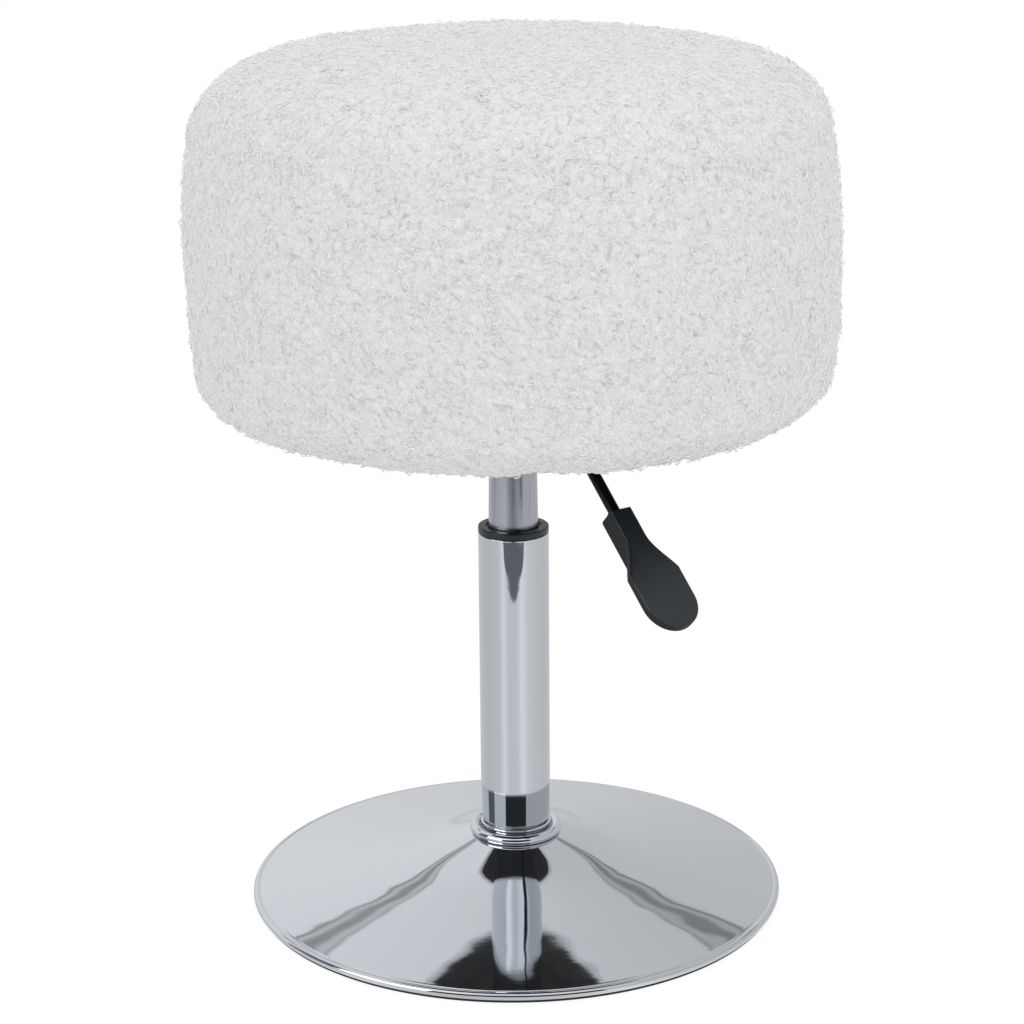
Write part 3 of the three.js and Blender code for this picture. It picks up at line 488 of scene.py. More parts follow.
def boucle_material():
    """Off-white looped yarn with fine curled threads. Painted shade makes it warmer and darker in the creases
    between tufts, and darker in the hollows of the threads' relief.
    """
    material, tree, shader = new_material("boucle_yarn")
    vector = stretched_coordinates(tree, (1, 1, 1))
    depth = add_node(tree, "ShaderNodeAttribute", attribute_name="tuft")
    # Painted shade: the colour turns warmer and darker towards the creases between tufts, following the depth
    # attribute.
    crease = ramp(tree, depth.outputs["Fac"], [
        (0.0, (0.6, 0.53, 0.44)),
        (0.14, (0.78, 0.755, 0.715)),
        (0.34, (0.875, 0.872, 0.87)),
        (1.0, (0.9, 0.903, 0.912)),
    ])
    shader.inputs["Roughness"].default_value = 0.95
    shader.inputs["Specular IOR Level"].default_value = 0.2
    shader.inputs["Sheen Weight"].default_value = 0.2
    shader.inputs["Sheen Roughness"].default_value = 0.5
    shader.inputs["Subsurface Weight"].default_value = 0.5
    shader.inputs["Subsurface Radius"].default_value = (1.0, 1.0, 1.0)
    shader.inputs["Subsurface Scale"].default_value = 1.5 * MM

    # Curled threads: rings round scattered cells, bent by noise, over a fine fuzz. The same relief also
    # darkens the colour in its hollows, as painted shade.
    bend = add_node(tree, "ShaderNodeTexNoise", Vector=vector, Scale=420.0, Detail=2.0).outputs["Color"]
    bent = combine(tree, "MULTIPLY_ADD", bend, (1.8 * MM,) * 3, vector, kind="ShaderNodeVectorMath")
    cells = add_node(tree, "ShaderNodeTexVoronoi", Vector=bent, Scale=300.0)
    wave = combine(tree, "SINE", combine(tree, "MULTIPLY", cells.outputs["Distance"], 16.0))
    fuzz = noise_texture(tree, vector, 1500, detail=3, roughness=0.7, distortion=1.2)
    curled = combine(tree, "MULTIPLY_ADD", wave, 0.4, fuzz)
    add_bump(tree, shader, curled, 0.6, 0.5 * MM)
    # Painted shade in the threads' hollows: the crease colour is multiplied by the relief.
    shaded = add_node(tree, "ShaderNodeMix", data_type="RGBA", blend_type="MULTIPLY")
    shaded.inputs[0].default_value = 1.0
    tree.links.new(crease, shaded.inputs[6])
    tree.links.new(ramp(tree, curled, [(0.1, 0.9), (0.75, 1.0)]), shaded.inputs[7])
    tree.links.new(shaded.outputs[2], shader.inputs["Base Color"])
    return material


def loose_yarn_material():
    """The same yarn where it stands off the seat in loops."""
    material, tree, shader = new_material("loose_yarn")
    fuzz = noise_texture(tree, stretched_coordinates(tree, (1, 1, 1)), 1200, detail=2)
    drive(tree, shader, "Base Color", fuzz, [(0.3, (0.885, 0.888, 0.896)), (0.7, (0.93, 0.933, 0.94))])
    shader.inputs["Roughness"].default_value = 0.95
    shader.inputs["Specular IOR Level"].default_value = 0.2
    shader.inputs["Sheen Weight"].default_value = 0.2
    shader.inputs["Subsurface Weight"].default_value = 0.6
    shader.inputs["Subsurface Radius"].default_value = (1.0, 1.0, 1.0)
    shader.inputs["Subsurface Scale"].default_value = 1.5 * MM
    return material


chrome = chrome_material("chrome_plating", 0.0)
spun_chrome = chrome_material("spun_chrome_plating", 0.011)
tube_steel = drawn_steel_material("drawn_tube_steel", (0.35, 0.37, 0.405), (0.5, 0.525, 0.57), 0.28)
zinc = plated_steel_material()
black_paint = grained_material(
    "black_powder_coat", (0.005, 0.005, 0.006), (0.008, 0.008, 0.009), 0.3, 700, 0.2, specular=0.15
)
black_plastic = grained_material(
    "black_moulded_plastic", (0.013, 0.017, 0.0235), (0.0175, 0.023, 0.0305), 0.36, 1400, 0.12, specular=0.45
)
# The handle's side faces: the plastic rougher and less glossy as moulded, and darker as painted shade.
matt_plastic_painted_shade = grained_material(
    "black_matt_plastic_painted_shade", (0.008, 0.0095, 0.012), (0.011, 0.013, 0.0165), 0.5, 1100, 0.25, specular=0.25
)
rubber = grained_material("black_rubber", (0.015, 0.015, 0.016), (0.025, 0.025, 0.026), 0.75, 900, 0.3)
brass = grained_material("turned_brass", (0.55, 0.4, 0.16), (0.65, 0.5, 0.23), 0.3, 500, 0.1, metallic=1.0)
cloth = cloth_material()
foam = foam_material()
plywood = plywood_material()
boucle = boucle_material()
loose_yarn = loose_yarn_material()

NODE_MATERIALS = {
    "chrome": chrome,
    "gas_tube": tube_steel,
    "plain_steel": zinc,
    "black_steel": black_paint,
    "black_plastic": black_plastic,
    "black_rubber": rubber,
    "brass": brass,
    "boucle": boucle,
    "black_fabric": cloth,
    "foam": foam,
    "plywood": plywood,
}


def dress_cad_nodes():
    """Every node of the frame gets its slot's material, and a few that stay get a bevel."""
    slots = {part["node"]: part["material_slot"] for part in frame["record"]["subparts"]}
    for name, obj in frame["nodes"].items():
        obj.data.materials.clear()
        obj.data.materials.append(NODE_MATERIALS[slots[name]])
    for name, width in BEVELS.items():
        add_bevel(name, width)


def add_bevel(name, width):
    bevel = frame["nodes"][name].modifiers.new("bevel", "BEVEL")
    bevel.width = width
    bevel.segments = 2
    bevel.limit_method = "ANGLE"
    bevel.angle_limit = math.radians(40)
    bevel.harden_normals = True


# Base

def dish_cone(foot, neck_z):
    """The dish from its lip in to the neck, with its slopes scaled so that it ends at the neck's height."""
    neck_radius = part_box("column_tube")[1].x + COLLAR_RING_OUT + NECK_MARGIN
    knots = [(foot[0], CONE_ANGLE), *[(r * MM, math.radians(slope)) for r, slope in DISH_SLOPES]]
    radii = np.linspace(foot[0], neck_radius, CONE_STEPS)
    slopes = np.tan(np.interp(-radii, [-r for r, _ in knots], [slope for _, slope in knots]))
    rise = np.concatenate([[0], np.cumsum(-np.diff(radii) * (slopes[1:] + slopes[:-1]) / 2)])
    heights = foot[1] + rise * (neck_z - foot[1]) / rise[-1]
    return list(zip(radii.tolist(), heights.tolist()))[1:]


def dish_outline():
    """The pressed dish: rolled bead, groove and cone above, and the sheet's lower face."""
    low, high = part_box("base_dish")
    rim_radius = high.x - BEAD_RADIUS
    rim_z = low.z + 2 * BEAD_RADIUS
    bead = arc(rim_radius, rim_z - BEAD_RADIUS, BEAD_RADIUS, -180, 118, 30)
    groove = (bead[-1][0] - RIM_GROOVE, bead[-1][1] + RIM_GROOVE * 0.1)
    lip_radii = [rim_radius - BEAD_RADIUS - i * RIM_GROOVE for i in (0, 1, 3)]
    lip = [(r, rim_z + (rim_radius - r) * math.tan(CONE_ANGLE)) for r in lip_radii]
    cone = dish_cone(lip[-1], high.z)
    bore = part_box("column_tube")[1].x - COLUMN_WALL
    fall = SHEET / math.cos(CONE_ANGLE)
    under = [(r, z - fall) for r, z in [*cone[::-4], lip[-1]]]
    return [*bead, groove, *lip, *cone, (bore, high.z), (bore, high.z - fall), *under]


def build_base():
    dish = turned("chrome_dish", dish_outline(), spun_chrome, "base", "chrome", ROUND_FINE)
    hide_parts("base_dish")

    low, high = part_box("floor_ring")
    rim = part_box("base_dish")
    lip_top = rim[0].z - RUN_GAP
    outer = rim[1].x - 2 * BEAD_RADIUS - RUN_GAP
    inner = outer - RING_WIDTH
    lip = high.x + RING_PROUD
    outline = [
        (inner, low.z),
        (lip, low.z),
        (lip, lip_top),
        (outer, lip_top),
        (outer, high.z),
        (inner, high.z),
    ]
    outline = fillet(outline, [RING_FILLET, RING_FILLET, RING_FILLET, 0, 0, 0], 4)
    ring = turned("rubber_floor_ring", outline, rubber, "base", "black_rubber", ROUND_FINE)
    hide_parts("floor_ring")


def build_collar():
    low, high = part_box("base_collar")
    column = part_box("column_tube")[1].x
    bore = column - COLUMN_WALL
    ring_r = column + COLLAR_RING_OUT
    groove_r = column - COLLAR_GROOVE_IN
    bead_r = column - COLLAR_BEAD_IN
    ring_height = COLLAR_RING_SECTION - COLLAR_RING_SINK
    foot_angle = math.degrees(math.asin(ring_height / COLLAR_RING_SECTION))
    top = high.z - COLLAR_BEAD_DROP
    outline = [
        (bore, low.z),
        *arc(ring_r, low.z + ring_height, COLLAR_RING_SECTION, -foot_angle, 175, 32),
        (groove_r, low.z + COLLAR_GROOVE_FLOOR - COLLAR_BEAD_DROP),
        *arc(bead_r, top - COLLAR_BEAD_SECTION, COLLAR_BEAD_SECTION, -60, 90, 12),
        (bore, top),
    ]
    collar = turned("chrome_collar", outline, chrome, "base", "chrome", ROUND_FINE)
    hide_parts("base_collar")


def build_column():
    low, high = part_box("column_tube")
    outer = high.x
    bore = outer - COLUMN_WALL
    outline = [
        (bore, low.z),
        (outer - SWAGE_DEPTH, low.z),
        (outer, low.z + SWAGE_HEIGHT),
        (outer, high.z),
        (bore, high.z),
    ]
    outline = fillet(outline, [0, COLUMN_FOOT_FILLET, SWAGE_ROUND, EDGE_FILLET, 0], 8)
    column = turned("chrome_column", outline, chrome, "base", "chrome", ROUND_FINE)
    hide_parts("column_tube")


def build_bushing():
    low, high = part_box("guide_bushing")
    outer = high.x
    liner = outer - COLUMN_WALL - RUN_GAP
    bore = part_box("pressure_tube")[1].x + RUN_GAP
    flange_z = high.z - BUSHING_FLANGE
    lip_z = high.z - BUSHING_LIP_DEPTH
    outline = [
        (bore, low.z),
        (liner, low.z),
        (liner, flange_z),
        (outer, flange_z),
        (outer, high.z),
        (bore + BUSHING_LIP_WIDTH, high.z),
        (bore + BUSHING_LIP_WIDTH, lip_z),
        (bore, lip_z),
    ]
    outline = fillet(outline, [0, 0, 0, EDGE_FILLET, BUSHING_CHAMFER, EDGE_FILLET, 0, EDGE_FILLET])
    bushing = turned("plastic_bushing", outline, black_plastic, "base", "black_plastic", ROUND_FINE)
    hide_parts("guide_bushing")


def build_tube():
    low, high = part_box("pressure_tube")
    outer = high.x
    top_radius = outer - TAPER_DRAW
    taper_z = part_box("guide_bushing")[1].z + TAPER_START
    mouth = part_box("piston_rod")[1].x + RUN_GAP
    floor_z = low.z + TUBE_CRIMP
    outline = [
        (mouth, low.z),
        (outer, low.z),
        (outer, taper_z),
        (top_radius, high.z),
        (top_radius - TUBE_WALL, high.z),
        (top_radius - TUBE_WALL, high.z - VALVE_HEIGHT),
        (outer - TUBE_WALL, taper_z),
        (outer - TUBE_WALL, floor_z),
        (mouth, floor_z),
    ]
    outline = fillet(outline, [0, TUBE_CRIMP, 0, EDGE_FILLET, EDGE_FILLET, 0, 0, 0, 0])
    tube = turned("spring_tube", outline, tube_steel, "seat", "gas_tube", ROUND_FINE)
    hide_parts("pressure_tube")


def build_hub():
    low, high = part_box("taper_hub")
    flange = high.x
    body = flange - HUB_FLANGE_WIDTH
    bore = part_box("pressure_tube")[1].x - TAPER_DRAW + RUN_GAP
    flange_z = high.z - HUB_FLANGE_HEIGHT
    outline = [
        (bore + RUN_GAP, low.z),
        (body, low.z),
        (body, flange_z),
        (flange, flange_z),
        (flange, high.z),
        (bore, high.z),
    ]
    outline = fillet(outline, [EDGE_FILLET, 2 * EDGE_FILLET, 0, EDGE_FILLET, EDGE_FILLET, 0])
    hub = turned("cone_hub", outline, zinc, "seat", "plain_steel")
    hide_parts("taper_hub")


# Lever

def tube_rings(path, radius, sides):
    """Rings of points round a path that stays in the XZ plane."""
    rings = []
    for i, point in enumerate(path):
        before, after = path[max(i - 1, 0)], path[min(i + 1, len(path) - 1)]
        along = (Vector(after) - Vector(before)).normalized()
        across = Vector((0, 1, 0))
        up = along.cross(across).normalized()
        ring = []
        for k in range(sides):
            a = TURN * k / sides
            ring.append(tuple(Vector(point) + (across * math.cos(a) + up * math.sin(a)) * radius))
        rings.append(ring)
    return rings


def rod_path(z):
    """The rod's centre line: level from the tongue, a round bend, then down into the handle."""
    tangent = LEVER_BEND_RADIUS * math.tan(LEVER_SLOPE / 2)
    centre = Vector((LEVER_BEND_X - tangent, 0, z - LEVER_BEND_RADIUS))
    path = [(TONGUE_ROOT - MM, 0, z), (LEVER_PIVOT_X, 0, z)]
    for i in range(13):
        a = LEVER_SLOPE * i / 12
        x = centre.x + LEVER_BEND_RADIUS * math.sin(a)
        path.append((x, 0, centre.z + LEVER_BEND_RADIUS * math.cos(a)))
    reach = LEVER_TO_HANDLE + LEVER_INSERT
    path.append((LEVER_BEND_X + reach * math.cos(LEVER_SLOPE), 0, z - reach * math.sin(LEVER_SLOPE)))
    return path


def joined(name, parts, material, body, slot):
    """One object made of several closed shapes, each given as points and faces."""
    points, faces = [], []
    for part_points, part_faces in parts:
        start = len(points)
        points += part_points
        faces += [tuple(start + i for i in face) for face in part_faces]
    return make_piece(name, points, faces, material, body, slot)


def build_lever_rod():
    """The bent rod, the flat tongue that reaches the release pin, and the eye round the pivot pin."""
    z = lever_height()
    rod = stacked(tube_rings(rod_path(z), LEVER_ROD_RADIUS + LEVER_COAT, 32))

    half = TONGUE_WIDTH / 2
    outline = [
        (TONGUE_ROOT, -LEVER_ROD_RADIUS),
        (TONGUE_ROOT, LEVER_ROD_RADIUS),
        (TONGUE_ROOT - half, half),
        *[(half - TONGUE_TIP + half * math.cos(a), half * math.sin(a))
          for a in np.linspace(math.pi / 2, 3 * math.pi / 2, 17)],
        (TONGUE_ROOT - half, -half),
    ]
    base_z = z - LEVER_ROD_RADIUS
    tongue = stacked([[(x, y, level) for x, y in outline] for level in (base_z, base_z + TONGUE_THICKNESS)])

    eye_outline = [
        (PIVOT_BORE, -LEVER_EYE_WIDTH / 2),
        (LEVER_EYE_RADIUS, -LEVER_EYE_WIDTH / 2),
        (LEVER_EYE_RADIUS, LEVER_EYE_WIDTH / 2),
        (PIVOT_BORE, LEVER_EYE_WIDTH / 2),
    ]
    eye_points, eye_faces = lathe_mesh(fillet(eye_outline, [EDGE_FILLET] * 4, 3), ROUND_SMALL)
    eye = ([(x + LEVER_PIVOT_X, h, z + y) for x, y, h in eye_points], [f[::-1] for f in eye_faces])
    lever = joined("bent_lever_rod", [rod, tongue, eye], black_paint, "lever", "black_steel")
    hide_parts("lever_rod")


def lever_height():
    """Height of the lever's axis: the middle of its pivot pin."""
    low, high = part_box("pivot_pin")
    return (low.z + high.z) / 2


def handle_half_widths():
    """(distance along, half width) from the neck's end to where the paddle's round end starts."""
    neck, wide = HANDLE_NECK_WIDTH / 2, HANDLE_WIDTH / 2
    flare = HANDLE_FLARE_END - HANDLE_NECK_STRAIGHT
    corners = [
        (HANDLE_NECK_STRAIGHT, neck),
        (HANDLE_NECK_STRAIGHT + flare / 3, neck),
        (HANDLE_FLARE_END - flare / 3, wide - neck / 2),
        (HANDLE_FLARE_END, wide),
    ]
    return [(0.0, neck), *bezier(corners, 20)]


def inset(outline, distance):
    """The closed outline, counter-clockwise, moved inward by a distance."""
    moved = []
    count = len(outline)
    for i, at in enumerate(outline):
        before = (Vector(at) - Vector(outline[i - 1])).normalized()
        after = (Vector(outline[(i + 1) % count]) - Vector(at)).normalized()
        inward = (Vector((-before.y, before.x)) + Vector((-after.y, after.x))).normalized()
        reach = distance / max(0.5, inward.dot(Vector((-before.y, before.x))))
        moved.append(tuple(Vector(at) + inward * reach))
    return moved


def rounded_prism(outline, low, high, size, place, steps=4):
    """A closed slab with round edges: an outline between two heights. place maps (u, v, height) to points."""
    half = [(size + SUPPORT, 0.0)]
    for i in range(steps + 1):
        a = math.pi / 2 * i / steps
        half.append((size * (1 - math.sin(a)), size * (1 - math.cos(a))))
    half.append((0.0, size + SUPPORT))
    levels = [(shift, low + rise) for shift, rise in half]
    levels += [(shift, high - rise) for shift, rise in half[::-1]]
    return stacked([[place(u, v, level) for u, v in inset(outline, shift)] for shift, level in levels])


def build_handle():
    """A flat paddle with a round end on a deeper neck, which holds the rod."""
    side = handle_half_widths()
    wide = HANDLE_WIDTH / 2
    tip = arc(HANDLE_LENGTH - wide, 0, wide, -90, 90, 40)
    outline = [*[(x, -y) for x, y in side], *tip, *reversed(side)]
    top = HANDLE_NECK_DEPTH / 2
    under = top - HANDLE_THICKNESS
    place = (
        Matrix.Translation((LEVER_BEND_X, 0, lever_height()))
        @ Matrix.Rotation(LEVER_SLOPE, 4, "Y")
        @ Matrix.Translation((LEVER_TO_HANDLE, 0, 0))
    )

    def from_above(u, v, w):
        return tuple(place @ Vector((u, v, w)))

    def from_side(u, v, w):
        return tuple(place @ Vector((u, -w, v)))

    slab = rounded_prism(outline, under, top, HANDLE_FILLET, from_above)
    paddle = make_piece("handle_paddle", *slab, black_plastic, "lever", "black_plastic")
    middle_x = (HANDLE_DEEP_TO + HANDLE_DEEP_END) / 2
    back = bezier([(HANDLE_DEEP_TO, -top), (middle_x, -top), (HANDLE_DEEP_END, under)], 12)
    inside = top - HANDLE_THICKNESS / 2
    profile = [(0, -top), *back, (HANDLE_DEEP_END, inside), (0, inside)]
    profile = fillet(profile, [2 * HANDLE_FILLET] + [0] * (len(profile) - 1))
    half = HANDLE_NECK_WIDTH / 2
    neck = rounded_prism(profile, -half, half, HANDLE_FILLET, from_side)
    block = make_piece("handle_neck", *neck, black_plastic, "lever", "black_plastic")
    merge(paddle, block)
    smooth(paddle.data)
    # Faces that turn away from the flat face take the side copy of the plastic, which is darker as painted
    # shade.
    paddle.data.materials.append(matt_plastic_painted_shade)
    flat_face = place.to_3x3() @ Vector((0, 0, 1))
    for face in paddle.data.polygons:
        face.material_index = 0 if face.normal.dot(flat_face) > FACE_SHARE else 1
    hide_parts("lever_handle")


def merge(piece, other):
    """Joins the other closed piece to this one as one solid, and deletes the other."""
    for obj in (piece, other):
        shape = bmesh.new()
        shape.from_mesh(obj.data)
        bmesh.ops.recalc_face_normals(shape, faces=shape.faces)
        shape.to_mesh(obj.data)
        shape.free()
    union = piece.modifiers.new("union", "BOOLEAN")
    union.operation = "UNION"
    union.solver = "EXACT"
    union.object = other
    bpy.context.view_layer.update()
    evaluated = piece.evaluated_get(bpy.context.evaluated_depsgraph_get())
    mesh = bpy.data.meshes.new_from_object(evaluated)
    piece.modifiers.clear()
    piece.data = mesh
    bpy.data.objects.remove(other)


# Seat

def seat_line(step):
    """The seat's outer line of (radius, height), from the board's edge up the side to the top's middle."""
    low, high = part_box("boucle_cover")
    corner_r = high.x - SIDE_BULGE
    shoulder_z = high.z - SEAT_CROWN
    top_z = shoulder_z - TOP_CORNER_HEIGHT
    flat_r = corner_r - TOP_CORNER_WIDTH
    start_angle = math.asin(1 - (corner_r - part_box("seat_board")[1].x) / BOTTOM_CORNER_WIDTH)
    bottom_z = low.z + BOTTOM_CORNER_HEIGHT * math.cos(start_angle)
    fine = []
    for a in np.linspace(start_angle, math.pi / 2, 80, endpoint=False):
        inward = BOTTOM_CORNER_WIDTH * (1 - math.sin(a))
        fine.append((corner_r - inward, bottom_z - BOTTOM_CORNER_HEIGHT * math.cos(a)))
    for t in np.linspace(0, 1, 80, endpoint=False):
        fine.append((corner_r + SIDE_BULGE * 4 * t * (1 - t), bottom_z + (top_z - bottom_z) * t))
    for a in np.linspace(0, math.pi / 2, 120, endpoint=False):
        inward = TOP_CORNER_WIDTH * (1 - math.cos(a))
        fine.append((corner_r - inward, top_z + TOP_CORNER_HEIGHT * math.sin(a)))
    for t in np.linspace(0, 1, 80):
        fine.append((flat_r * (1 - t), shoulder_z + SEAT_CROWN * (1 - math.cos(math.pi * t)) / 2))
    return evenly(fine, step)


def evenly(line, step):
    """The same line with points at even distances along it."""
    points = np.array(line)
    lengths = np.hypot(*np.diff(points, axis=0).T)
    along = np.concatenate([[0], np.cumsum(lengths)])
    places = np.linspace(0, along[-1], max(2, round(along[-1] / step)) + 1)
    return np.stack([np.interp(places, along, points[:, k]) for k in (0, 1)], axis=1)


def line_normals(line):
    along = np.gradient(line, axis=0)
    along /= np.linalg.norm(along, axis=1)[:, None]
    return np.stack([along[:, 1], -along[:, 0]], axis=1)


def ring_counts(line, step):
    return [max(1, round(TURN * r / step)) if r > step / 2 else 1 for r, _ in line]


def sew_rings(first, count_a, second, count_b):
    """Triangles between two rings of different counts. The second ring lies further along the line."""
    triangles = []
    if count_b == 1:
        return [(first + k, first + (k + 1) % count_a, second) for k in range(count_a)]
    i = j = 0
    while i < count_a or j < count_b:
        if j >= count_b or (i < count_a and (i + 0.5) / count_a <= (j + 0.5) / count_b):
            triangles.append((first + i % count_a, first + (i + 1) % count_a, second + j % count_b))
            i += 1
        else:
            triangles.append((first + i % count_a, second + (j + 1) % count_b, second + j % count_b))
            j += 1
    return triangles


def ring_surface(line, normals, step):
    """Points, normals and triangles of the line turned about Z, with rings of about even steps."""
    counts = ring_counts(line, step)
    points, directions, starts = [], [], []
    for (r, z), (nr, nz), count in zip(line, normals, counts):
        starts.append(len(points))
        for k in range(count):
            a = TURN * k / count
            c, s = math.cos(a), math.sin(a)
            points.append((r * c, r * s, z))
            directions.append((nr * c, nr * s, nz))
    triangles = []
    for i in range(len(line) - 1):
        triangles += sew_rings(starts[i], counts[i], starts[i + 1], counts[i + 1])
    return np.array(points), np.array(directions), triangles


def tuft_height(point):
    """Height of the pile at a point of the seat, and how far the point is from a crease, 0 to 1."""
    bent = point / TUFT_SIZE
    bent.z *= 1.25
    bent += noise.noise_vector(point / (2.5 * TUFT_SIZE)) * 0.9
    bent += noise.noise_vector(point / (0.45 * TUFT_SIZE)) * 0.22
    near, nextnear = noise.voronoi(bent, distance_metric="DISTANCE")[0][:2]
    open_share = min(1.0, (nextnear - near) / 0.42)
    dome = math.sqrt(max(0.0, 1 - (near / 0.95) ** 2))
    rough = noise.fractal(point / (0.3 * TUFT_SIZE), 1.0, 2.0, 2)
    size = 0.62 + 0.38 * noise.noise(point / (1.7 * TUFT_SIZE))
    crease = open_share ** 0.6
    height = crease * (0.45 + 0.55 * dome) * size + 0.12 * rough
    return height, crease


def swell(points):
    """How far each point of the seat stands out or in for the chosen swells and dents."""
    rise = np.zeros(len(points))
    for degrees, radius, height, spread, size in SWELLS:
        angle = CAMERA_AZIMUTH - math.pi / 2 + math.radians(degrees)
        centre = np.array([radius * math.cos(angle), radius * math.sin(angle), height]) * MM
        away = np.linalg.norm(points - centre, axis=1) / (spread * MM)
        rise += size * MM * np.exp(-away ** 2)
    return rise


def pile(points, normals):
    """Points moved out by tufts and by the broad lumps of a stuffed seat, and each point's depth value, which
    the yarn's material turns into painted shade in the creases.
    """
    moved = np.empty_like(points)
    depth = np.empty(len(points))
    broad = swell(points)
    sink = TUFT_SINK * np.minimum(1, (1 + normals[:, 2]) / BOTTOM_ROLL_SHARE)
    for i, (p, n) in enumerate(zip(points, normals)):
        point = Vector(p)
        height, crease = tuft_height(point)
        lump = LUMP_HEIGHT * noise.noise(point / LUMP_SIZE)
        moved[i] = p + n * (TUFT_HEIGHT * height - sink[i] + lump + broad[i])
        depth[i] = min(1.0, max(0.0, 0.75 * crease + 0.35 * height))
    return moved, depth


def build_curls(surface, normals, depth):
    """Short curled threads of yarn that lie on the tufts."""
    rng = np.random.default_rng(SEED)
    weights = np.clip(depth - 0.25, 0, None)
    chosen = rng.choice(len(surface), CURL_COUNT, replace=False, p=weights / weights.sum())
    centre = surface[chosen]
    out = normals[chosen]
    steps, sides = 6, 3
    axis = out + rng.normal(0, 0.3, (CURL_COUNT, 3))
    axis /= np.linalg.norm(axis, axis=1)[:, None]
    side = np.cross(axis, rng.normal(size=(CURL_COUNT, 3)))
    side /= np.linalg.norm(side, axis=1)[:, None]
    other = np.cross(axis, side)
    radius = rng.uniform(*CURL_RADII, CURL_COUNT)
    span = rng.uniform(*CURL_TURN_SHARES, CURL_COUNT) * TURN
    lift = rng.uniform(*CURL_LIFTS, CURL_COUNT)
    points = np.empty((CURL_COUNT, steps, sides, 3))
    for i in range(steps):
        share = i / (steps - 1)
        a = span * share
        grow = radius * (0.75 + 0.25 * share)
        outward = side * np.cos(a)[:, None] + other * np.sin(a)[:, None]
        arch = math.sin(math.pi * share)
        spine = centre + outward * grow[:, None] + out * (lift + CURL_ARCH * arch)[:, None]
        thick = CURL_YARN * (0.55 + 0.45 * arch)
        for k in range(sides):
            b = TURN * k / sides
            points[:, i, k] = spine + (outward * math.cos(b) + axis * math.sin(b)) * thick
    quads = []
    for i in range(steps - 1):
        quads += [(a, d, c, b) for a, b, c, d in band(i * sides, (i + 1) * sides, sides)]
    block = np.array(quads)[None] + (np.arange(CURL_COUNT) * steps * sides)[:, None, None]
    faces = block.reshape(-1, 4)
    mesh = bpy.data.meshes.new("boucle_curls")
    mesh.from_pydata(points.reshape(-1, 3).tolist(), [], faces.tolist())
    curls = link(bpy.data.objects.new("boucle_curls", mesh))
    curls.data.materials.append(loose_yarn)
    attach(curls, "seat")
    return curls


def build_cover():
    """The boucle skin: a piled outer face, turned in at a hem under the board."""
    noise.seed_set(SEED)
    line = seat_line(FABRIC_STEP)
    normals = line_normals(line)
    points, directions, triangles = ring_surface(line, normals, FABRIC_STEP)
    surface, depth = pile(points, directions)

    # The hem under the board: in under the dust cloth, then up to the board
    first = ring_counts(line, FABRIC_STEP)[0]
    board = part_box("seat_board")
    hem_top = board[0].z - RUN_GAP
    hem_z = hem_top - HEM_THICKNESS
    inner = board[1].x - HEM_WIDTH
    spokes = points[:first, :2] / np.hypot(*points[:first, :2].T)[:, None]
    all_points = surface.tolist()
    above = 0
    for radius, height in [(board[1].x, hem_z), (inner, hem_z), (inner, hem_top)]:
        start = len(all_points)
        all_points += [(x, y, height) for x, y in spokes * radius]
        for k in range(first):
            m = (k + 1) % first
            triangles += [(start + k, start + m, above + m), (start + k, above + m, above + k)]
        above = start
    mesh = bpy.data.meshes.new("boucle_seat_cover")
    mesh.from_pydata(all_points, [], triangles)
    mesh.polygons.foreach_set("use_smooth", np.ones(len(mesh.polygons), bool))
    # The depth value, stored as the tuft attribute, sets the yarn's painted crease shade; the hem gets none.
    shade = mesh.attributes.new("tuft", "FLOAT", "POINT")
    shade.data.foreach_set("value", np.concatenate([depth, np.ones(3 * first)]))
    cover = link(bpy.data.objects.new("boucle_seat_cover", mesh))
    cover.data.materials.append(boucle)
    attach(cover, "seat")
    build_curls(surface, directions, depth)
    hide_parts("boucle_cover")


def build_foam():
    """The foam block inside the cover, flat on the board."""
    low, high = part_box("foam_block")
    line = seat_line(FOAM_LINE_STEP)
    inner = line - line_normals(line) * (COVER_THICKNESS + FOAM_GAP)
    inner = inner[inner[:, 1] > low.z]
    inner[-1, 0] = 0
    widest = inner[0, 0]
    line = np.array([(widest * t, low.z) for t in np.linspace(0, 1, 12)] + inner.tolist())
    points, _, triangles = ring_surface(line, line_normals(line), FOAM_STEP)
    piece = make_piece("foam_core", points.tolist(), triangles, foam, "seat", "foam")
    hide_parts("foam_block")


def build_dust_cover():
    """Thin black cloth, stapled under the board and over the hem, with faint ripples."""
    low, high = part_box("dust_cover")
    radius = high.x
    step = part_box("seat_board")[1].x - HEM_WIDTH - RUN_GAP
    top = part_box("seat_board")[0].z - 2 * RUN_GAP
    flat = step - DUST_COVER_SLOPE
    corners = [(radius, low.z + RUN_GAP), (step, low.z + RUN_GAP), (flat, top), (0, top)]
    line = evenly(corners, DUST_COVER_STEP)
    points, _, triangles = ring_surface(line, line_normals(line), DUST_COVER_STEP)
    points[:, 2] += [RIPPLE_HEIGHT * noise.noise(Vector(p) / RIPPLE_SIZE) for p in points]
    piece = make_piece("nonwoven_dust_cover", points.tolist(), triangles, cloth, "seat", "black_fabric")
    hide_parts("dust_cover")


# Studio

def camera_side(distance, height, offset=0.0):
    """A point in front of the stool, towards the camera, with a sideways offset to the image's right."""
    c, s = math.cos(CAMERA_AZIMUTH), math.sin(CAMERA_AZIMUTH)
    return Vector((distance * s + offset * c, -distance * c + offset * s, height))


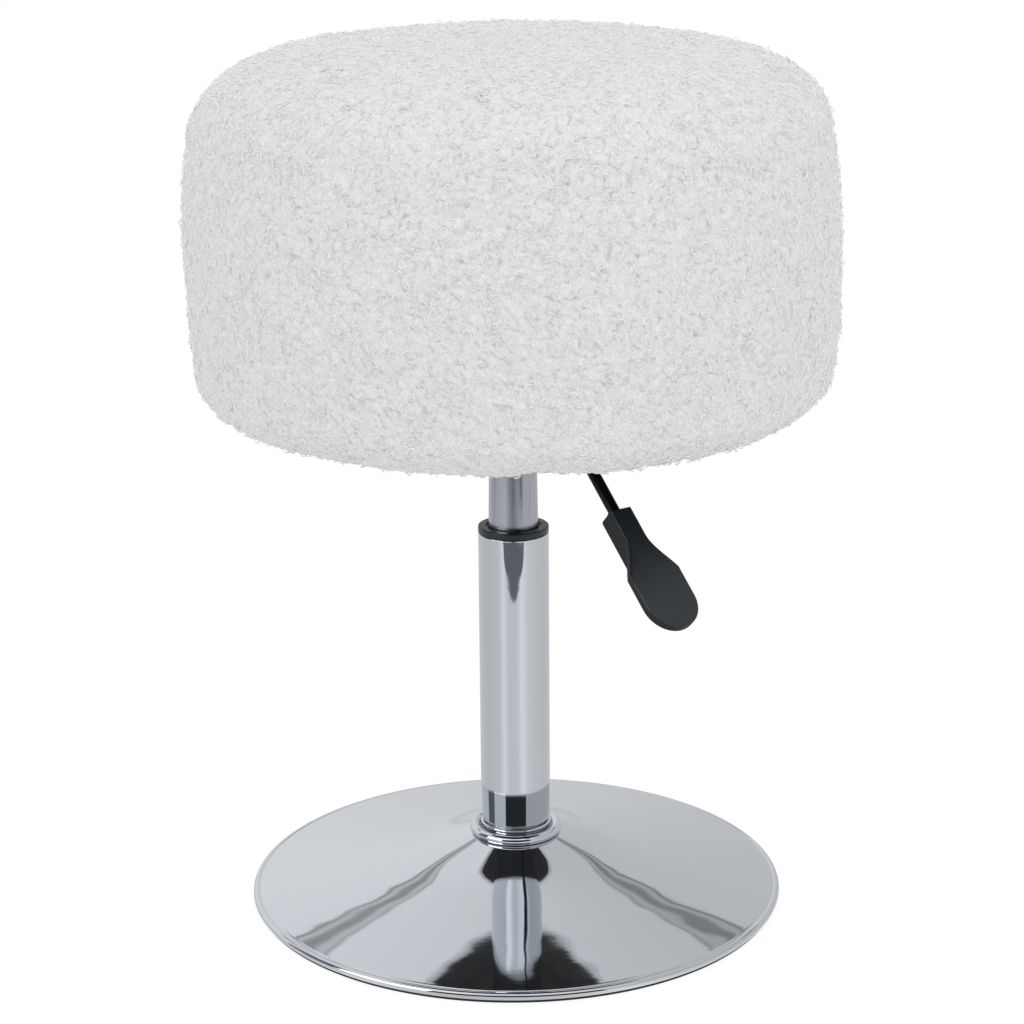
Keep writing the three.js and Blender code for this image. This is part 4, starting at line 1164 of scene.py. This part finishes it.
def build_camera():
    data = bpy.data.cameras.new("camera")
    data.lens = CAMERA_LENS
    data.sensor_width = SENSOR_WIDTH
    camera = link(bpy.data.objects.new("camera", data))
    camera.matrix_world = (
        Matrix.Translation(camera_side(CAMERA_DISTANCE, CAMERA_HEIGHT))
        @ Matrix.Rotation(CAMERA_AZIMUTH + CAMERA_YAW, 4, "Z")
        @ Matrix.Rotation(math.pi / 2 - CAMERA_PITCH, 4, "X")
        @ Matrix.Rotation(-CAMERA_ROLL, 4, "Z")
    )
    bpy.context.scene.camera = camera


def build_world():
    """Soft even light. Mirrors see a pale studio with a dark gap between the backdrop and the ceiling."""
    world = bpy.data.worlds.new("studio")
    bpy.context.scene.world = world
    world.use_nodes = True
    tree = world.node_tree
    tree.nodes.clear()
    path = add_node(tree, "ShaderNodeLightPath")
    source = add_node(tree, "ShaderNodeTexCoord")
    direction = source.outputs["Generated"]
    turn = add_node(tree, "ShaderNodeMapping", Vector=direction, Rotation=(0, 0, -CAMERA_AZIMUTH))
    split = add_node(tree, "ShaderNodeSeparateXYZ", Vector=turn.outputs["Vector"])
    tilted = combine(tree, "MULTIPLY_ADD", split.outputs["X"], 0.023, split.outputs["Z"])
    rise = ramp(tree, tilted, [
        (0.0, 0.86), (0.35, 0.98), (0.541, 0.97), (0.546, 0.93), (0.549, 0.2), (0.552, 0.2),
        (0.556, 0.7), (0.566, 0.7), (0.571, 0.4), (0.588, 0.37), (0.593, 0.68), (0.605, 0.72),
        (0.609, 0.42), (0.611, 0.42), (0.616, 0.95), (1.0, 0.97),
    ])
    across = add_node(tree, "ShaderNodeMapRange")
    for socket, value in zip(across.inputs, (split.outputs["X"], -0.22, 0.22, 1.04, 0.78)):
        plug(tree, value, socket)
    strength = combine(tree, "MULTIPLY", rise, across.outputs[0])
    light = add_node(tree, "ShaderNodeBackground", Color=(0.975, 0.983, 1.0, 1), Strength=0.82)
    gloss = add_node(tree, "ShaderNodeBackground", Color=(1, 1, 1, 1), Strength=strength)
    white = add_node(tree, "ShaderNodeBackground", Color=(1, 1, 1, 1), Strength=1.0)
    seen = combine(tree, "MAXIMUM", path.outputs["Is Camera Ray"], path.outputs["Is Transmission Ray"])
    unseen = mix_shaders(tree, path.outputs["Is Glossy Ray"], light, gloss)
    output = add_node(tree, "ShaderNodeOutputWorld")
    tree.links.new(mix_shaders(tree, seen, unseen, white).outputs[0], output.inputs[0])


def azimuth_bands(tree, stops):
    """A grey by the direction round the stool. 0.5 is the camera's side, more is to the image's right."""
    source = add_node(tree, "ShaderNodeTexCoord").outputs["Object"]
    turn = add_node(tree, "ShaderNodeMapping", Vector=source, Rotation=(0, 0, math.pi / 2 - CAMERA_AZIMUTH))
    radial = add_node(tree, "ShaderNodeTexGradient", gradient_type="RADIAL", Vector=turn.outputs["Vector"])
    return ramp(tree, radial.outputs["Fac"], stops)


def floor_material():
    """White paper that keeps a faint shadow. Mirrors see it with soft bands of light round the stool."""
    material = bpy.data.materials.new("studio_floor")
    material.use_nodes = True
    tree = material.node_tree
    tree.nodes.clear()
    path = add_node(tree, "ShaderNodeLightPath")
    bands = azimuth_bands(tree, [
        (0.0, 0.72), (0.06, 0.74), (0.12, 0.76), (0.25, 0.74), (0.36, 0.8), (0.405, 1.05), (0.45, 0.82),
        (0.52, 0.84), (0.565, 1.08), (0.63, 0.86), (0.75, 0.78), (0.9, 0.74), (1.0, 0.66),
    ])
    paper = add_node(tree, "ShaderNodeBsdfDiffuse", Color=(0.9, 0.9, 0.9, 1))
    glow = add_node(tree, "ShaderNodeEmission", Color=(1, 1, 1, 1), Strength=1.1)
    banded = add_node(tree, "ShaderNodeEmission", Color=bands, Strength=1.0)
    fade = combine(tree, "MULTIPLY_ADD", path.outputs["Is Camera Ray"], 0.46, 0.32)
    seen = mix_shaders(tree, fade, paper, glow)
    surface = mix_shaders(tree, path.outputs["Is Glossy Ray"], seen, banded)
    output = add_node(tree, "ShaderNodeOutputMaterial")
    tree.links.new(surface.outputs[0], output.inputs[0])
    return material


def stage_mesh(name, points, material):
    """A flat card of the studio, given by its corners."""
    mesh = bpy.data.meshes.new(name)
    mesh.from_pydata([tuple(p) for p in points], [], [tuple(range(len(points)))])
    card = link(bpy.data.objects.new(name, mesh))
    card.data.materials.append(material)
    return card


def glow_material(name, strength):
    """An even glow in a cool grey, for the dim parts of the room."""
    material, tree, shader = new_material(name)
    shader.inputs["Base Color"].default_value = (0, 0, 0, 1)
    shader.inputs["Specular IOR Level"].default_value = 0
    shader.inputs["Emission Color"].default_value = (0.85, 0.93, 1.0, 1)
    shader.inputs["Emission Strength"].default_value = strength
    return material


def softbox_material():
    """Soft lights side by side, for the column's image in the dish and the edges of the chrome."""
    material = glow_material("softbox_glow", 2.0)
    tree = material.node_tree
    bands = azimuth_bands(tree, [
        (0.28, 0.42), (0.305, 0.33), (0.345, 0.38), (0.375, 0.72), (0.4, 0.86), (0.425, 0.78),
        (0.455, 0.58), (0.49, 0.52), (0.53, 0.66), (0.575, 0.72), (0.62, 0.56), (0.68, 0.48),
    ])
    tree.links.new(bands, tree.nodes["Principled BSDF"].inputs["Emission Color"])
    return material


def upright_card(name, distance, heights, offsets, material):
    """A card in front of the stool that faces it, between two heights and two sideways offsets."""
    (low, high), (left, right) = heights, offsets
    corners = [(low, left), (low, right), (high, right), (high, left)]
    return stage_mesh(name, [camera_side(distance, height, offset) for height, offset in corners], material)


def build_studio():
    """The paper floor, the cards that only mirrors see, and the lamps."""
    half = FLOOR_WIDTH / 2
    corners = [(-half, -half, 0), (half, -half, 0), (half, half, 0), (-half, half, 0)]
    stage_mesh("floor", corners, floor_material())

    # The dark room in front of the paper: distances from the stool and degrees from the camera's side
    spade = [(0.58, 0), (0.603, 13), (0.635, 25), (0.69, 32), (0.75, 34), (0.77, 5), (1.14, 5)]
    low = 0.5 * MM
    outline = [(d, math.radians(a)) for d, a in spade] + [(d, -math.radians(a)) for d, a in spade[:0:-1]]
    shape = [camera_side(d * math.cos(a), low, d * math.sin(a)) for d, a in outline]
    side, back, ahead, top = -1.2, -0.28, 0.3, 1.2
    side_corners = [(back, low), (ahead, low), (ahead, top), (back, top)]
    cards = [
        stage_mesh("dark_floor", shape, glow_material("dim_floor", 0.19)),
        upright_card("dark_front", 1.15, (low, 0.8), (-0.79, 0.79), glow_material("dim_front", 0.04)),
        stage_mesh("dark_side", [camera_side(*corner, side) for corner in side_corners],
                   glow_material("dim_side", 0.2)),
        upright_card("softbox", 0.7, (0.8, 1.45), (-1.9, 1.1), softbox_material()),
    ]
    for card in cards:
        card.visible_camera = False
        card.visible_diffuse = False
        card.visible_shadow = False
        card.visible_transmission = False

    key = add_lamp("key_lamp", camera_side(1.2, 1.8, 0.05), (1.6, 1.6), 6.5)
    fill = add_lamp("fill_lamp", camera_side(0.9, 1.6, 1.3), (1.6, 1.6), 1)
    key.visible_glossy = fill.visible_glossy = False
    edge = add_lamp("edge_gloss_lamp", camera_side(0.71, 0.78, -1.32), (1.4, 0.5), 13)
    edge.visible_diffuse = False


def add_lamp(name, place, size, power):
    """A soft lamp that the camera doesn't see, aimed at the stool's middle."""
    data = bpy.data.lights.new(name, "AREA")
    data.shape = "RECTANGLE"
    data.size, data.size_y = size
    data.energy = power
    lamp = link(bpy.data.objects.new(name, data))
    aim = Vector((0, 0, 0.3)) - place
    lamp.matrix_world = Matrix.Translation(place) @ aim.to_track_quat("-Z", "Y").to_matrix().to_4x4()
    lamp.visible_camera = False
    return lamp


dress_cad_nodes()
build_base()
build_collar()
build_column()
build_bushing()
build_tube()
build_hub()
build_lever_rod()
build_handle()
build_foam()
build_dust_cover()
build_cover()
build_camera()
build_world()
build_studio()
bpy.context.scene.view_settings.view_transform = "Standard"
